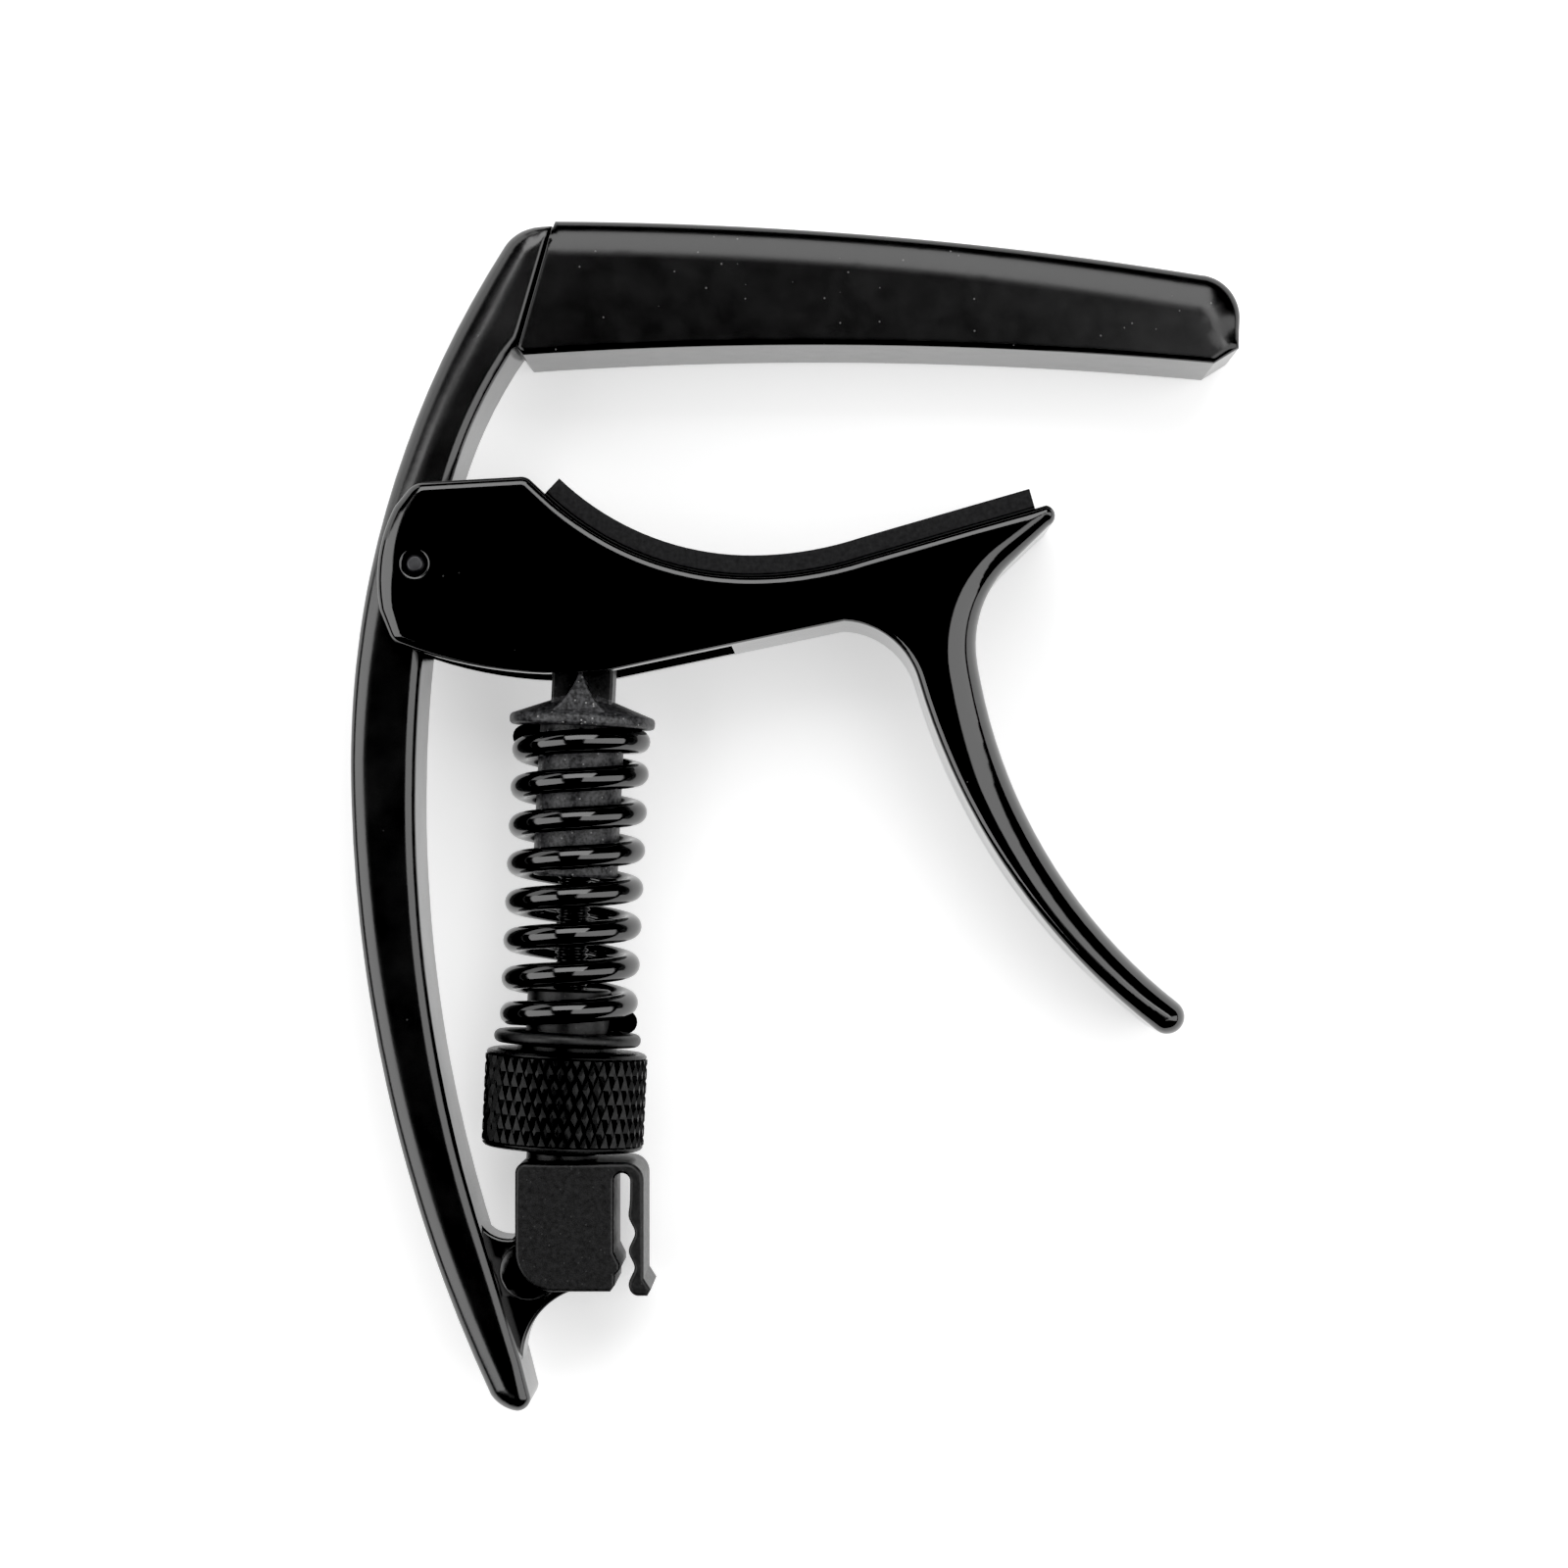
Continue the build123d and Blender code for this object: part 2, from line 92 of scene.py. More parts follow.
# local x is to the right of the spring's axis, y is down, z runs along the axis
ON_SPRING = Matrix.Translation(PIVOT) @ Matrix((ASIDE, AXIS.cross(ASIDE), AXIS)).transposed().to_4x4()
ON_MAIN_PIVOT = Matrix.Translation((*MAIN_PIVOT, 0))


def along(distance, aside=0.0):
    """Point in the XY plane at a distance along the spring's axis."""
    p = PIVOT + AXIS * distance + ASIDE * aside
    return p.x, p.y


def about_middle(half):
    """The two heights that lie this far below and above the middle plane."""
    return MID_Z - half, MID_Z + half


# ------------------------------------------------------------------ outlines

def turn_left(loop):
    """The loop with its inside on the left."""
    x, y = loop[:, 0], loop[:, 1]
    area = np.sum(x * np.roll(y, -1) - np.roll(x, -1) * y)
    return loop if area > 0 else loop[::-1]


def sections(node, z):
    """The CAD node's outlines at a height, longest first."""
    bm = bmesh.new()
    bm.from_mesh(frame["nodes"][node].data)
    bmesh.ops.remove_doubles(bm, verts=bm.verts, dist=1e-7)
    cut = bmesh.ops.bisect_plane(
        bm, geom=bm.verts[:] + bm.edges[:] + bm.faces[:], plane_co=(0, 0, z * MM), plane_no=(0, 0, 1)
    )["geom_cut"]
    beside = {}
    for e in cut:
        if isinstance(e, bmesh.types.BMEdge):
            for v in e.verts:
                beside.setdefault(v, []).append(e.other_vert(v))
    loops, seen = [], set()
    for start in beside:
        loop = []
        here = start
        while here is not None and here not in seen:
            seen.add(here)
            loop.append((here.co.x / MM, here.co.y / MM))
            here = next((v for v in beside[here] if v not in seen), None)
        if len(loop) > 2:
            loops.append(turn_left(np.array(loop)))
    bm.free()
    return sorted(loops, key=lambda L: -np.sum(np.hypot(*(np.roll(L, -1, 0) - L).T)))


def smooth_run(points, step):
    """Even points along a run of CAD points: arcs stay round and straight stretches stay straight."""
    d = np.diff(points, axis=0)
    h = np.hypot(*d.T)
    angle = np.unwrap(np.arctan2(d[:, 1], d[:, 0]))
    n = len(points)
    even = [1 <= k <= n - 2 and max(h[k - 1], h[k]) < 2.5 * min(h[k - 1], h[k]) for k in range(n)]

    def half_turn(k, segment):
        """How far the tangent at point k turns from the segment beside it."""
        if not even[k]:
            return 0.0
        return (angle[k] - angle[k - 1]) * h[segment] / (h[k - 1] + h[k])

    tangent = []
    for k in range(n):
        if even[k]:
            tangent.append(angle[k - 1] + half_turn(k, k - 1))
        elif k == 0 or (k < n - 1 and h[k] > h[k - 1]):
            tangent.append(angle[k] - half_turn(k + 1, k))
        else:
            tangent.append(angle[k - 1] + half_turn(k - 1, k - 1))
    out = []
    for k in range(n - 1):
        m = np.array([[cos(tangent[j]), sin(tangent[j])] for j in (k, k + 1)]) * h[k]
        pieces = max(1, ceil(h[k] / step))
        for t in np.arange(pieces) / pieces:
            out.append(
                (1 + 2 * t) * (1 - t) ** 2 * points[k] + t * (1 - t) ** 2 * m[0]
                + t * t * (3 - 2 * t) * points[k + 1] + t * t * (t - 1) * m[1]
            )
    return out


def resample(loop, step=0.35, corner=14.0):
    """A CAD outline with even points, its corners kept."""
    d = np.roll(loop, -1, 0) - loop
    angle = np.arctan2(d[:, 1], d[:, 0])
    turn = (angle - np.roll(angle, 1) + pi) % tau - pi
    corners = np.flatnonzero(np.abs(turn) > radians(corner))
    if len(corners) == 0:
        corners = np.array([0])
    loop = np.roll(loop, -corners[0], 0)
    corners = list(corners - corners[0]) + [len(loop)]
    closed = np.vstack([loop, loop[:1]])
    out = []
    for a, b in zip(corners, corners[1:]):
        out += smooth_run(closed[a:b + 1], step)
    out = np.array(out)
    gap = np.hypot(*(np.roll(out, -1, 0) - out).T)
    return out[gap > 0.02]


def arc(a, b, c, step=0.4):
    """Points of the arc from a through b to c, without c."""
    (ax, ay), (bx, by), (cx, cy) = a, b, c
    d = 2 * (ax * (by - cy) + bx * (cy - ay) + cx * (ay - by))
    sa, sb, sc = ax * ax + ay * ay, bx * bx + by * by, cx * cx + cy * cy
    x = (sa * (by - cy) + sb * (cy - ay) + sc * (ay - by)) / d
    y = (sa * (cx - bx) + sb * (ax - cx) + sc * (bx - ax)) / d
    r = np.hypot(ax - x, ay - y)
    start, mid, end = (np.arctan2(q - y, p - x) for p, q in (a, b, c))
    full = (end - start) % tau
    if (mid - start) % tau > full:
        full -= tau
    n = max(2, ceil(abs(full) * r / step))
    return [(x + r * cos(start + full * i / n), y + r * sin(start + full * i / n)) for i in range(n)]


def line(a, b, step=0.4):
    """Points of the straight line from a to b, without b."""
    a, b = np.array(a, float), np.array(b, float)
    n = max(1, ceil(np.hypot(*(b - a)) / step))
    return [tuple(a + (b - a) * i / n) for i in range(n)]


def rounded(loop, where, radius):
    """The loop with the corner nearest a point rounded."""
    loop = np.array(loop, float)
    i = int(np.argmin(np.hypot(*(loop - where).T)))
    loop = np.roll(loop, -i, 0)
    corner = loop[0]
    out, back = loop[1] - corner, loop[-1] - corner
    out, back = out / np.hypot(*out), back / np.hypot(*back)
    half = np.arccos(np.clip(out @ back, -1, 1)) / 2
    run = radius / np.tan(half)
    centre = corner + (out + back) / np.hypot(*(out + back)) * radius / np.sin(half)
    middle = centre + (corner - centre) / np.hypot(*(corner - centre)) * radius
    a, c = corner + back * run, corner + out * run
    keep = loop[np.hypot(*(loop - corner).T) > run * 1.001]
    return np.array(list(map(tuple, keep)) + arc(a, middle, c, 0.25) + [tuple(c)])


def rims(loop, stations):
    """Each outline point's rim, as inset and drop, between stations of x, y, inset and drop."""
    step = np.hypot(*(np.roll(loop, -1, 0) - loop).T)
    place = np.concatenate([[0], np.cumsum(step)[:-1]])
    total = step.sum()
    found = sorted((place[int(np.argmin(np.hypot(*(loop - s[:2]).T)))], s[2], s[3]) for s in stations)
    at = [f[0] for f in found]
    return np.stack([np.interp(place, at, [f[k] for f in found], period=total) for k in (1, 2)], 1)


def even_rim(loop, size):
    """A round rim of one size all along the outline."""
    return np.full((len(loop), 2), size)


# --------------------------------------------------------------------- slabs

RIM_STEPS = np.radians([0, 12, 24, 36, 48, 60, 72, 82, 90])
GUARD = 0.12                 # width of the narrow band on each side of a rim
HOLLOW_TURN = -0.5           # an outline that turns further than this, in radians, gets a fan of rim points
FAN_STEP = 0.3
RIDGE_STEP = 0.4             # grid where two rims meet
ROW = 0.866                  # height of a row in a grid of even triangles
CHUNK = 500                  # points measured at a time


def drop_at(points, dense, dense_rim):
    """How far the top lies below its flat at each point."""
    out = np.zeros(len(points))
    a, b = dense_rim[:, 0], dense_rim[:, 1]
    for i in range(0, len(points), CHUNK):
        p = points[i:i + CHUNK]
        d = np.hypot(p[:, None, 0] - dense[None, :, 0], p[:, None, 1] - dense[None, :, 1])
        u = np.clip((a - d) / a, 0, 1)
        out[i:i + CHUNK] = np.max(b * (1 - np.sqrt(1 - u * u)), axis=1)
    return out


def inside(points, loop):
    """Which points lie inside the loop."""
    x, y = points[:, 0][:, None], points[:, 1][:, None]
    x0, y0 = loop[:, 0], loop[:, 1]
    x1, y1 = np.roll(x0, -1), np.roll(y0, -1)
    level = np.where(np.abs(y1 - y0) < 1e-12, 1e-12, y1 - y0)
    hits = ((y0 > y) != (y1 > y)) & (x < (x1 - x0) * (y - y0) / level + x0)
    return hits.sum(1) % 2 == 1


def grid_inside(loop, step):
    """The points of a triangle grid that lie inside the loop."""
    low, high = loop.min(0), loop.max(0)
    x, y = np.meshgrid(np.arange(low[0], high[0], step), np.arange(low[1], high[1], step * ROW))
    x = x + (np.arange(x.shape[0]) % 2 * step / 2)[:, None]
    grid = np.stack([x.ravel(), y.ravel()], 1)
    return grid[inside(grid, loop)]


def slab(loop, rim, half, fill=0.9):
    """A bmesh with this outline and oval rims, flat on both sides at this distance from the middle plane."""
    n = len(loop)
    ahead = np.roll(loop, -1, 0) - loop
    ahead /= np.hypot(*ahead.T)[:, None]
    behind = np.roll(ahead, 1, 0)
    normal_ahead = np.stack([-ahead[:, 1], ahead[:, 0]], 1)
    normal_behind = np.roll(normal_ahead, 1, 0)
    turn = np.arctan2(behind[:, 0] * ahead[:, 1] - behind[:, 1] * ahead[:, 0], np.sum(behind * ahead, 1))
    # the outline eight times as dense, for measuring
    parts = np.arange(8)[:, None] / 8
    nxt, rim_nxt = np.roll(loop, -1, 0), np.roll(rim, -1, 0)
    dense = np.concatenate([loop * (1 - p) + nxt * p for p in parts])
    dense_rim = np.concatenate([rim * (1 - p) + rim_nxt * p for p in parts])

    rings, drops = [], []
    for step in list(RIM_STEPS[1:]) + [None]:
        pts, dr = [], []
        for i in range(n):
            a, b = rim[i]
            inset = a + GUARD if step is None else a * (1 - cos(step))
            drop = 0.0 if step is None else b * (1 - sin(step))
            if turn[i] < HOLLOW_TURN:
                fan = np.linspace(0, 1, 2 + int(-turn[i] * inset / FAN_STEP))
                dirs = [normal_behind[i] * (1 - f) + normal_ahead[i] * f for f in fan]
                ways = [w / np.hypot(*w) for w in dirs]
            else:
                w = normal_behind[i] + normal_ahead[i]
                ways = [w / max(np.sum(w * w) / 2, 0.35)]
            for w in ways:
                pts.append(loop[i] + w * inset)
                dr.append(drop)
        rings.append(np.array(pts))
        drops.append(np.array(dr))
    pts, wanted = np.concatenate(rings), np.concatenate(drops)
    ok = inside(pts, loop)
    pts, wanted = pts[ok], wanted[ok]
    true = drop_at(pts, dense, dense_rim)
    pts = pts[true - wanted < 0.02]
    # a grid in the middle, and a finer one for the ridges where two rims meet
    grid, ridge_grid = grid_inside(loop, fill), grid_inside(loop, RIDGE_STEP)
    if len(ridge_grid):
        ridge_grid = ridge_grid[drop_at(ridge_grid, dense, dense_rim) > 0.004]
    known = np.concatenate([loop, pts])
    for extra, space in ((ridge_grid, 0.3), (grid, 0.5)):
        keep = []
        for i in range(0, len(extra), CHUNK):
            d = np.hypot(*(extra[i:i + CHUNK, None] - known[None]).transpose(2, 0, 1))
            keep.append(d.min(1) > space)
        if keep:
            known = np.concatenate([known, extra[np.concatenate(keep)]])
    inner = known[n:]
    coords = [Vector(p) for p in known]
    edges = [(i, (i + 1) % n) for i in range(n)]
    flat, _, tris, origin, _, _ = delaunay_2d_cdt(coords, edges, [], 1, 1e-6)
    height = np.concatenate([rim[:, 1], drop_at(inner, dense, dense_rim)])
    bm = bmesh.new()
    top, bottom = [], []
    for k, p in enumerate(flat):
        drop = height[origin[k][0]] if origin[k] else 0.0
        top.append(bm.verts.new((p.x, p.y, MID_Z + half - drop)))
        bottom.append(bm.verts.new((p.x, p.y, MID_Z - half + drop)))
    for t in tris:
        bm.faces.new([top[i] for i in t])
        bm.faces.new([bottom[i] for i in reversed(t)])
    of = {}
    for k, src in enumerate(origin):
        for s in src:
            of[s] = k
    guards = []
    for i in range(n):
        wall = half - rim[i][1]
        near = min(GUARD, wall * 0.4)
        x, y = flat[of[i]]
        guards.append((bm.verts.new((x, y, MID_Z + wall - near)), bm.verts.new((x, y, MID_Z - wall + near))))
    for i in range(n):
        j = (i + 1) % n
        a, b = of[i], of[j]
        bm.faces.new((top[b], top[a], guards[i][0], guards[j][0]))
        bm.faces.new((guards[j][0], guards[i][0], guards[i][1], guards[j][1]))
        bm.faces.new((guards[j][1], guards[i][1], bottom[a], bottom[b]))
    return bm


def prism(loop, low, high):
    """A plain prism between two heights, used to cut."""
    bm = bmesh.new()
    loop = turn_left(np.array(loop, float))
    top = [bm.verts.new((x, y, high)) for x, y in loop]
    bottom = [bm.verts.new((x, y, low)) for x, y in loop]
    bm.faces.new(top)
    bm.faces.new(bottom[::-1])
    for i in range(len(loop)):
        j = (i + 1) % len(loop)
        bm.faces.new((bottom[i], bottom[j], top[j], top[i]))
    return bm


def circle(centre, radius, count=48):
    return [(centre[0] + radius * cos(tau * i / count), centre[1] + radius * sin(tau * i / count))
            for i in range(count)]


def lathe(profile, count=72, place=ON_SPRING):
    """A closed profile of radius and station, turned round the spring's axis."""
    bm = bmesh.new()
    rings = [[bm.verts.new(place @ Vector((r * cos(tau * i / count), r * sin(tau * i / count), s)))
              for i in range(count)] for r, s in profile]
    for (a, b), (p, q) in zip(zip(rings, rings[1:] + rings[:1]), zip(profile, profile[1:] + profile[:1])):
        if p[0] == q[0] == 0:
            continue
        for i in range(count):
            j = (i + 1) % count
            bm.faces.new((a[i], a[j], b[j], b[i]))
    bmesh.ops.remove_doubles(bm, verts=bm.verts[:], dist=1e-6)
    return bm


def fillet(corner, before, after, radius, steps=5):
    """Points that round a profile's corner between two directions."""
    corner, before, after = (np.array(v, float) for v in (corner, before, after))
    u, v = before - corner, after - corner
    u, v = u / np.hypot(*u), v / np.hypot(*v)
    half = np.arccos(np.clip(u @ v, -1, 1)) / 2
    run = radius / np.tan(half)
    centre = corner + (u + v) / np.hypot(*(u + v)) * radius / np.sin(half)
    a = corner + u * run - centre
    b = corner + v * run - centre
    out = []
    for k in range(steps + 1):
        w = a * (1 - k / steps) + b * (k / steps)
        out.append(tuple(centre + w / np.hypot(*w) * radius))
    return out


def profile(corners):
    """A profile from corners of radius, station and rounding."""
    out = []
    n = len(corners)
    for i, (r, s, rounding) in enumerate(corners):
        if rounding:
            out += fillet((r, s), corners[i - 1][:2], corners[(i + 1) % n][:2], rounding)
        else:
            out.append((r, s))
    return out


# ------------------------------------------------------------------- objects

def to_object(bm, name):
    """The bmesh, in millimetres, as a linked object in metres."""
    bmesh.ops.recalc_face_normals(bm, faces=bm.faces[:])
    bmesh.ops.scale(bm, vec=(MM, MM, MM), verts=bm.verts[:])
    mesh = bpy.data.meshes.new(name)
    bm.to_mesh(mesh)
    bm.free()
    obj = bpy.data.objects.new(name, mesh)
    bpy.context.scene.collection.objects.link(obj)
    return obj


def combine(obj, cutters, operation):
    """Joins or cuts the object with each bmesh, exactly."""
    for k, bm in enumerate(cutters):
        other = to_object(bm, f"{obj.name}_tool{k}")
        mod = obj.modifiers.new("exact", "BOOLEAN")
        mod.operation = operation
        mod.solver = "EXACT"
        mod.object = other
        dg = bpy.context.evaluated_depsgraph_get()
        mesh = bpy.data.meshes.new_from_object(obj.evaluated_get(dg))
        obj.modifiers.remove(mod)
        old = obj.data
        obj.data = mesh
        mesh.name = obj.name
        bpy.data.meshes.remove(old)
        tool_mesh = other.data
        bpy.data.objects.remove(other)
        bpy.data.meshes.remove(tool_mesh)
    return obj


def finish_piece(obj, body, material, nodes=(), sharp=32.0):
    """Smooth shading, material, body, slot and the CAD nodes that the piece stands for."""
    bm = bmesh.new()
    bm.from_mesh(obj.data)
    bmesh.ops.remove_doubles(bm, verts=bm.verts, dist=2e-7)
    bmesh.ops.dissolve_degenerate(bm, edges=bm.edges[:], dist=1e-7)
    bm.to_mesh(obj.data)
    bm.free()
    for polygon in obj.data.polygons:
        polygon.use_smooth = True
    obj.data.set_sharp_from_angle(angle=radians(sharp))
    obj.data.materials.clear()
    obj.data.materials.append(material)
    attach(obj, body)
    if nodes:
        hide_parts(*nodes)
    return obj


# ----------------------------------------------------------------- materials

LOOK = "_look"               # a material is named after the record's slot, with any variant and this added


class Shader:
    """A Principled material with a few short ways to add nodes."""

    def __init__(self, name, variant="", **settings):
        self.material = bpy.data.materials.new(name + variant + LOOK)
        self.material["slot"] = name
        self.material.use_nodes = True
        self.tree = self.material.node_tree
        self.bsdf = self.tree.nodes["Principled BSDF"]
        for key, value in settings.items():
            socket = self.bsdf.inputs[key.replace("_", " ").title().replace("Ior", "IOR")]
            socket.default_value = value
        self.coords = self.tree.nodes.new("ShaderNodeTexCoord").outputs["Object"]

    def add(self, kind, **values):
        node = self.tree.nodes.new(kind)
        for key, value in values.items():
            setattr(node, key, value)
        return node

    def noise(self, scale, detail=3.0, roughness=0.55, stretch=None):
        node = self.add("ShaderNodeTexNoise")
        node.inputs["Scale"].default_value = scale
        node.inputs["Detail"].default_value = detail
        node.inputs["Roughness"].default_value = roughness
        source = self.coords
        if stretch:
            mapping = self.add("ShaderNodeMapping")
            mapping.inputs["Scale"].default_value = stretch
            self.tree.links.new(source, mapping.inputs["Vector"])
            source = mapping.outputs["Vector"]
        self.tree.links.new(source, node.inputs["Vector"])
        return node.outputs["Fac"]

    def specks(self, scale, size, share):
        """Small round specks: 1 in a speck, else 0. Only a share of the cells has one."""
        cells = self.add("ShaderNodeTexVoronoi")
        cells.inputs["Scale"].default_value = scale
        self.tree.links.new(self.coords, cells.inputs["Vector"])
        near = self.ramp(cells.outputs["Distance"], (size, 1.0), (size * 1.5, 0.0))
        pick = self.add("ShaderNodeSeparateColor")
        self.tree.links.new(cells.outputs["Color"], pick.inputs["Color"])
        rare = self.ramp(pick.outputs["Red"], (1 - share - 0.002, 0.0), (1 - share, 1.0))
        both = self.add("ShaderNodeMath", operation="MULTIPLY")
        self.tree.links.new(near, both.inputs[0])
        self.tree.links.new(rare, both.inputs[1])
        return both.outputs[0]

    def ramp(self, source, low, high):
        """A grey value that runs from low to high, each a position and a value."""
        node = self.add("ShaderNodeMapRange", clamp=True)
        ends = {"From Min": low[0], "From Max": high[0], "To Min": low[1], "To Max": high[1]}
        for name, value in ends.items():
            node.inputs[name].default_value = value
        self.tree.links.new(source, node.inputs["Value"])
        return node.outputs["Result"]

    def tint(self, factor, dark, light):
        """Mixes two colours by a factor."""
        node = self.add("ShaderNodeMix", data_type="RGBA")
        node.inputs["A"].default_value = (*dark, 1)
        node.inputs["B"].default_value = (*light, 1)
        self.tree.links.new(factor, node.inputs["Factor"])
        return node.outputs["Result"]

    def over(self, factor, under, light):
        """A colour laid over another output where the factor is 1."""
        node = self.add("ShaderNodeMix", data_type="RGBA")
        self.tree.links.new(under, node.inputs["A"])
        node.inputs["B"].default_value = (*light, 1)
        self.tree.links.new(factor, node.inputs["Factor"])
        return node.outputs["Result"]

    def set(self, name, output):
        self.tree.links.new(output, self.bsdf.inputs[name])

    def bump(self, *layers):
        """Bump from layers of output, strength and distance in millimetres."""
        normal = None
        for output, strength, distance in layers:
            node = self.add("ShaderNodeBump")
            node.inputs["Strength"].default_value = strength
            node.inputs["Distance"].default_value = distance * MM
            self.tree.links.new(output, node.inputs["Height"])
            if normal:
                self.tree.links.new(normal, node.inputs["Normal"])
            normal = node.outputs["Normal"]
        self.set("Normal", normal)


def casting_material(variant, roughness, grain):
    s = Shader("gloss_black_casting", variant, roughness=roughness, ior=1.8)
    base = s.tint(s.noise(60), (0.0006, 0.0006, 0.0006), (0.0012, 0.0012, 0.0013))
    s.set("Base Color", s.over(s.specks(1500, 0.1, 0.01), base, (0.05, 0.05, 0.05)))
    s.set("Roughness", s.ramp(s.noise(140, 4), (0.35, roughness - 0.02), (0.7, roughness + 0.03)))
    s.bump((s.noise(420, 2), 0.05, 0.05), (s.noise(2600, 2), grain, 0.02))
    return s.material


def rubber_material():
    s = Shader("black_rubber", roughness=0.19, ior=1.6)
    base = s.tint(s.noise(300, 4), (0.0006, 0.0006, 0.0006), (0.0016, 0.0016, 0.0017))
    s.set("Base Color", s.over(s.specks(1500, 0.1, 0.06), base, (0.12, 0.12, 0.12)))
    s.set("Roughness", s.ramp(s.noise(500, 3), (0.3, 0.175), (0.7, 0.21)))
    s.bump((s.noise(3500, 3), 0.04, 0.02), (s.noise(90, 2), 0.04, 0.1))
    return s.material


def pad_material():
    s = Shader("charcoal_pad", roughness=0.75, ior=1.45, specular_ior_level=0.12)
    s.set("Base Color", s.tint(s.noise(2500, 4), (0.004, 0.004, 0.0042), (0.030, 0.030, 0.031)))
    s.set("Roughness", s.ramp(s.noise(1500, 2), (0.3, 0.68), (0.7, 0.85)))
    s.bump((s.noise(5200, 3), 0.35, 0.04), (s.noise(700, 2), 0.15, 0.05))
    return s.material


def plastic_material(variant, dark, light):
    s = Shader("black_plastic", variant, roughness=0.42, ior=1.45)
    grain = s.ramp(s.noise(3000, 3), (0.38, 0.0), (0.62, 1.0))
    base = s.tint(grain, (dark, dark, dark * 1.05), (light, light, light * 1.05))
    # light specks in the colour: painted glints on the grain of the textured plastic
    s.set("Base Color", s.over(s.specks(3200, 0.2, 0.12), base, (light * 4, light * 4, light * 4)))
    s.set("Roughness", s.ramp(s.noise(2400, 3), (0.3, 0.34), (0.7, 0.44)))
    s.bump((s.noise(3000, 3), 0.35, 0.05), (s.noise(160, 3, stretch=(1, 9, 1)), 0.05, 0.05))
    return s.material


def wheel_material():
    s = Shader("knurled_metal", roughness=0.3, ior=1.5, specular_ior_level=0.25)
    s.set("Base Color", s.tint(s.noise(1500, 3), (0.0006, 0.0006, 0.0007), (0.002, 0.002, 0.0021)))
    s.set("Roughness", s.ramp(s.noise(2400, 3), (0.3, 0.22), (0.7, 0.36)))
    s.bump((s.noise(3600, 3), 0.14, 0.03))
    return s.material


def spring_material():
    s = Shader("spring_steel", roughness=0.1, ior=1.8)
    s.set("Base Color", s.tint(s.noise(200), (0.0006, 0.0006, 0.0007), (0.0012, 0.0012, 0.0013)))
    s.set("Roughness", s.ramp(s.noise(700, 4), (0.35, 0.07), (0.7, 0.14)))
    s.bump((s.noise(1500, 2), 0.05, 0.03))
    return s.material


def screw_material():
    s = Shader("black_steel", roughness=0.3, ior=1.6, metallic=0.3)
    s.set("Base Color", s.tint(s.noise(900, 4), (0.004, 0.004, 0.0045), (0.02, 0.02, 0.021)))
    s.set("Roughness", s.ramp(s.noise(1800, 3), (0.3, 0.22), (0.7, 0.42)))
    s.bump((s.noise(3000, 3), 0.15, 0.02))
    return s.material


def pin_material():
    s = Shader("pin_steel", roughness=0.4, metallic=1.0)
    s.set("Base Color", s.tint(s.noise(1600, 4), (0.05, 0.05, 0.052), (0.10, 0.10, 0.105)))
    s.set("Roughness", s.ramp(s.noise(2600, 3), (0.3, 0.35), (0.7, 0.5)))
    s.bump((s.noise(2500, 3, stretch=(1, 12, 1)), 0.2, 0.01))
    return s.material


def nylon_material():
    s = Shader("nylon", roughness=0.45, ior=1.53, subsurface_weight=0.1)
    s.set("Base Color", s.tint(s.noise(500, 3), (0.62, 0.61, 0.57), (0.72, 0.71, 0.68)))
    s.bump((s.noise(2500, 3), 0.15, 0.02))
    return s.material


def film_material():
    s = Shader("adhesive_film", roughness=0.4, ior=1.47)
    s.set("Base Color", s.tint(s.noise(1500, 3), (0.003, 0.003, 0.003), (0.008, 0.008, 0.008)))
    s.bump((s.noise(2500, 2), 0.1, 0.02))
    return s.material


CASTING, ARM_CASTING = casting_material("", 0.1, 0.03), casting_material("_satin", 0.19, 0.12)
RUBBER, PAD = rubber_material(), pad_material()
# the guide takes a paler copy of the black plastic, and its tongue keeps the darker copy as painted shade
# from the lever's cheeks
PLASTIC, GUIDE_PLASTIC = plastic_material("", 0.0005, 0.007), plastic_material("_pale", 0.01, 0.08)
WHEEL, SPRING, SCREW = wheel_material(), spring_material(), screw_material()
PIN, NYLON, FILM = pin_material(), nylon_material(), film_material()

# --------------------------------------------------------------------- frame

arm = resample(sections("frame", 11.9)[0])
arm_rim = rims(arm, (
    (-37.55, 5.0, 1.5, 0.9), (-36.6, 20.0, 1.9, 1.2), (-33.8, 31.5, 2.6, 1.7), (-28.0, 44.5, 2.8, 1.7),
    (-25.0, 49.5, 2.3, 1.5), (-22.5, 50.35, 1.9, 1.3), (-20.6, 50.35, 0.8, 0.6), (-20.7, 49.5, 0.5, 0.35),
    (-23.0, 41.5, 0.6, 0.45), (-24.0, 39.0, 0.8, 0.8), (-31.6, 12.0, 0.9, 0.9), (-30.0, -20.0, 0.9, 0.9),
    (-27.5, -32.0, 0.9, 0.8), (-25.0, -40.0, 0.8, 0.7), (-23.1, -45.9, 0.8, 0.8), (-22.3, -49.0, 0.9, 0.9),
    (-22.65, -49.85, 1.1, 1.2), (-23.5, -50.2, 1.4, 1.4), (-24.8, -49.75, 1.7, 1.6),
    (-25.75, -48.8, 1.8, 1.6), (-29.5, -38.0, 1.9, 1.3), (-35.5, -14.0, 1.7, 1.1),
))
frame_piece = to_object(slab(arm, arm_rim, ARM_HALF), "capo_frame")
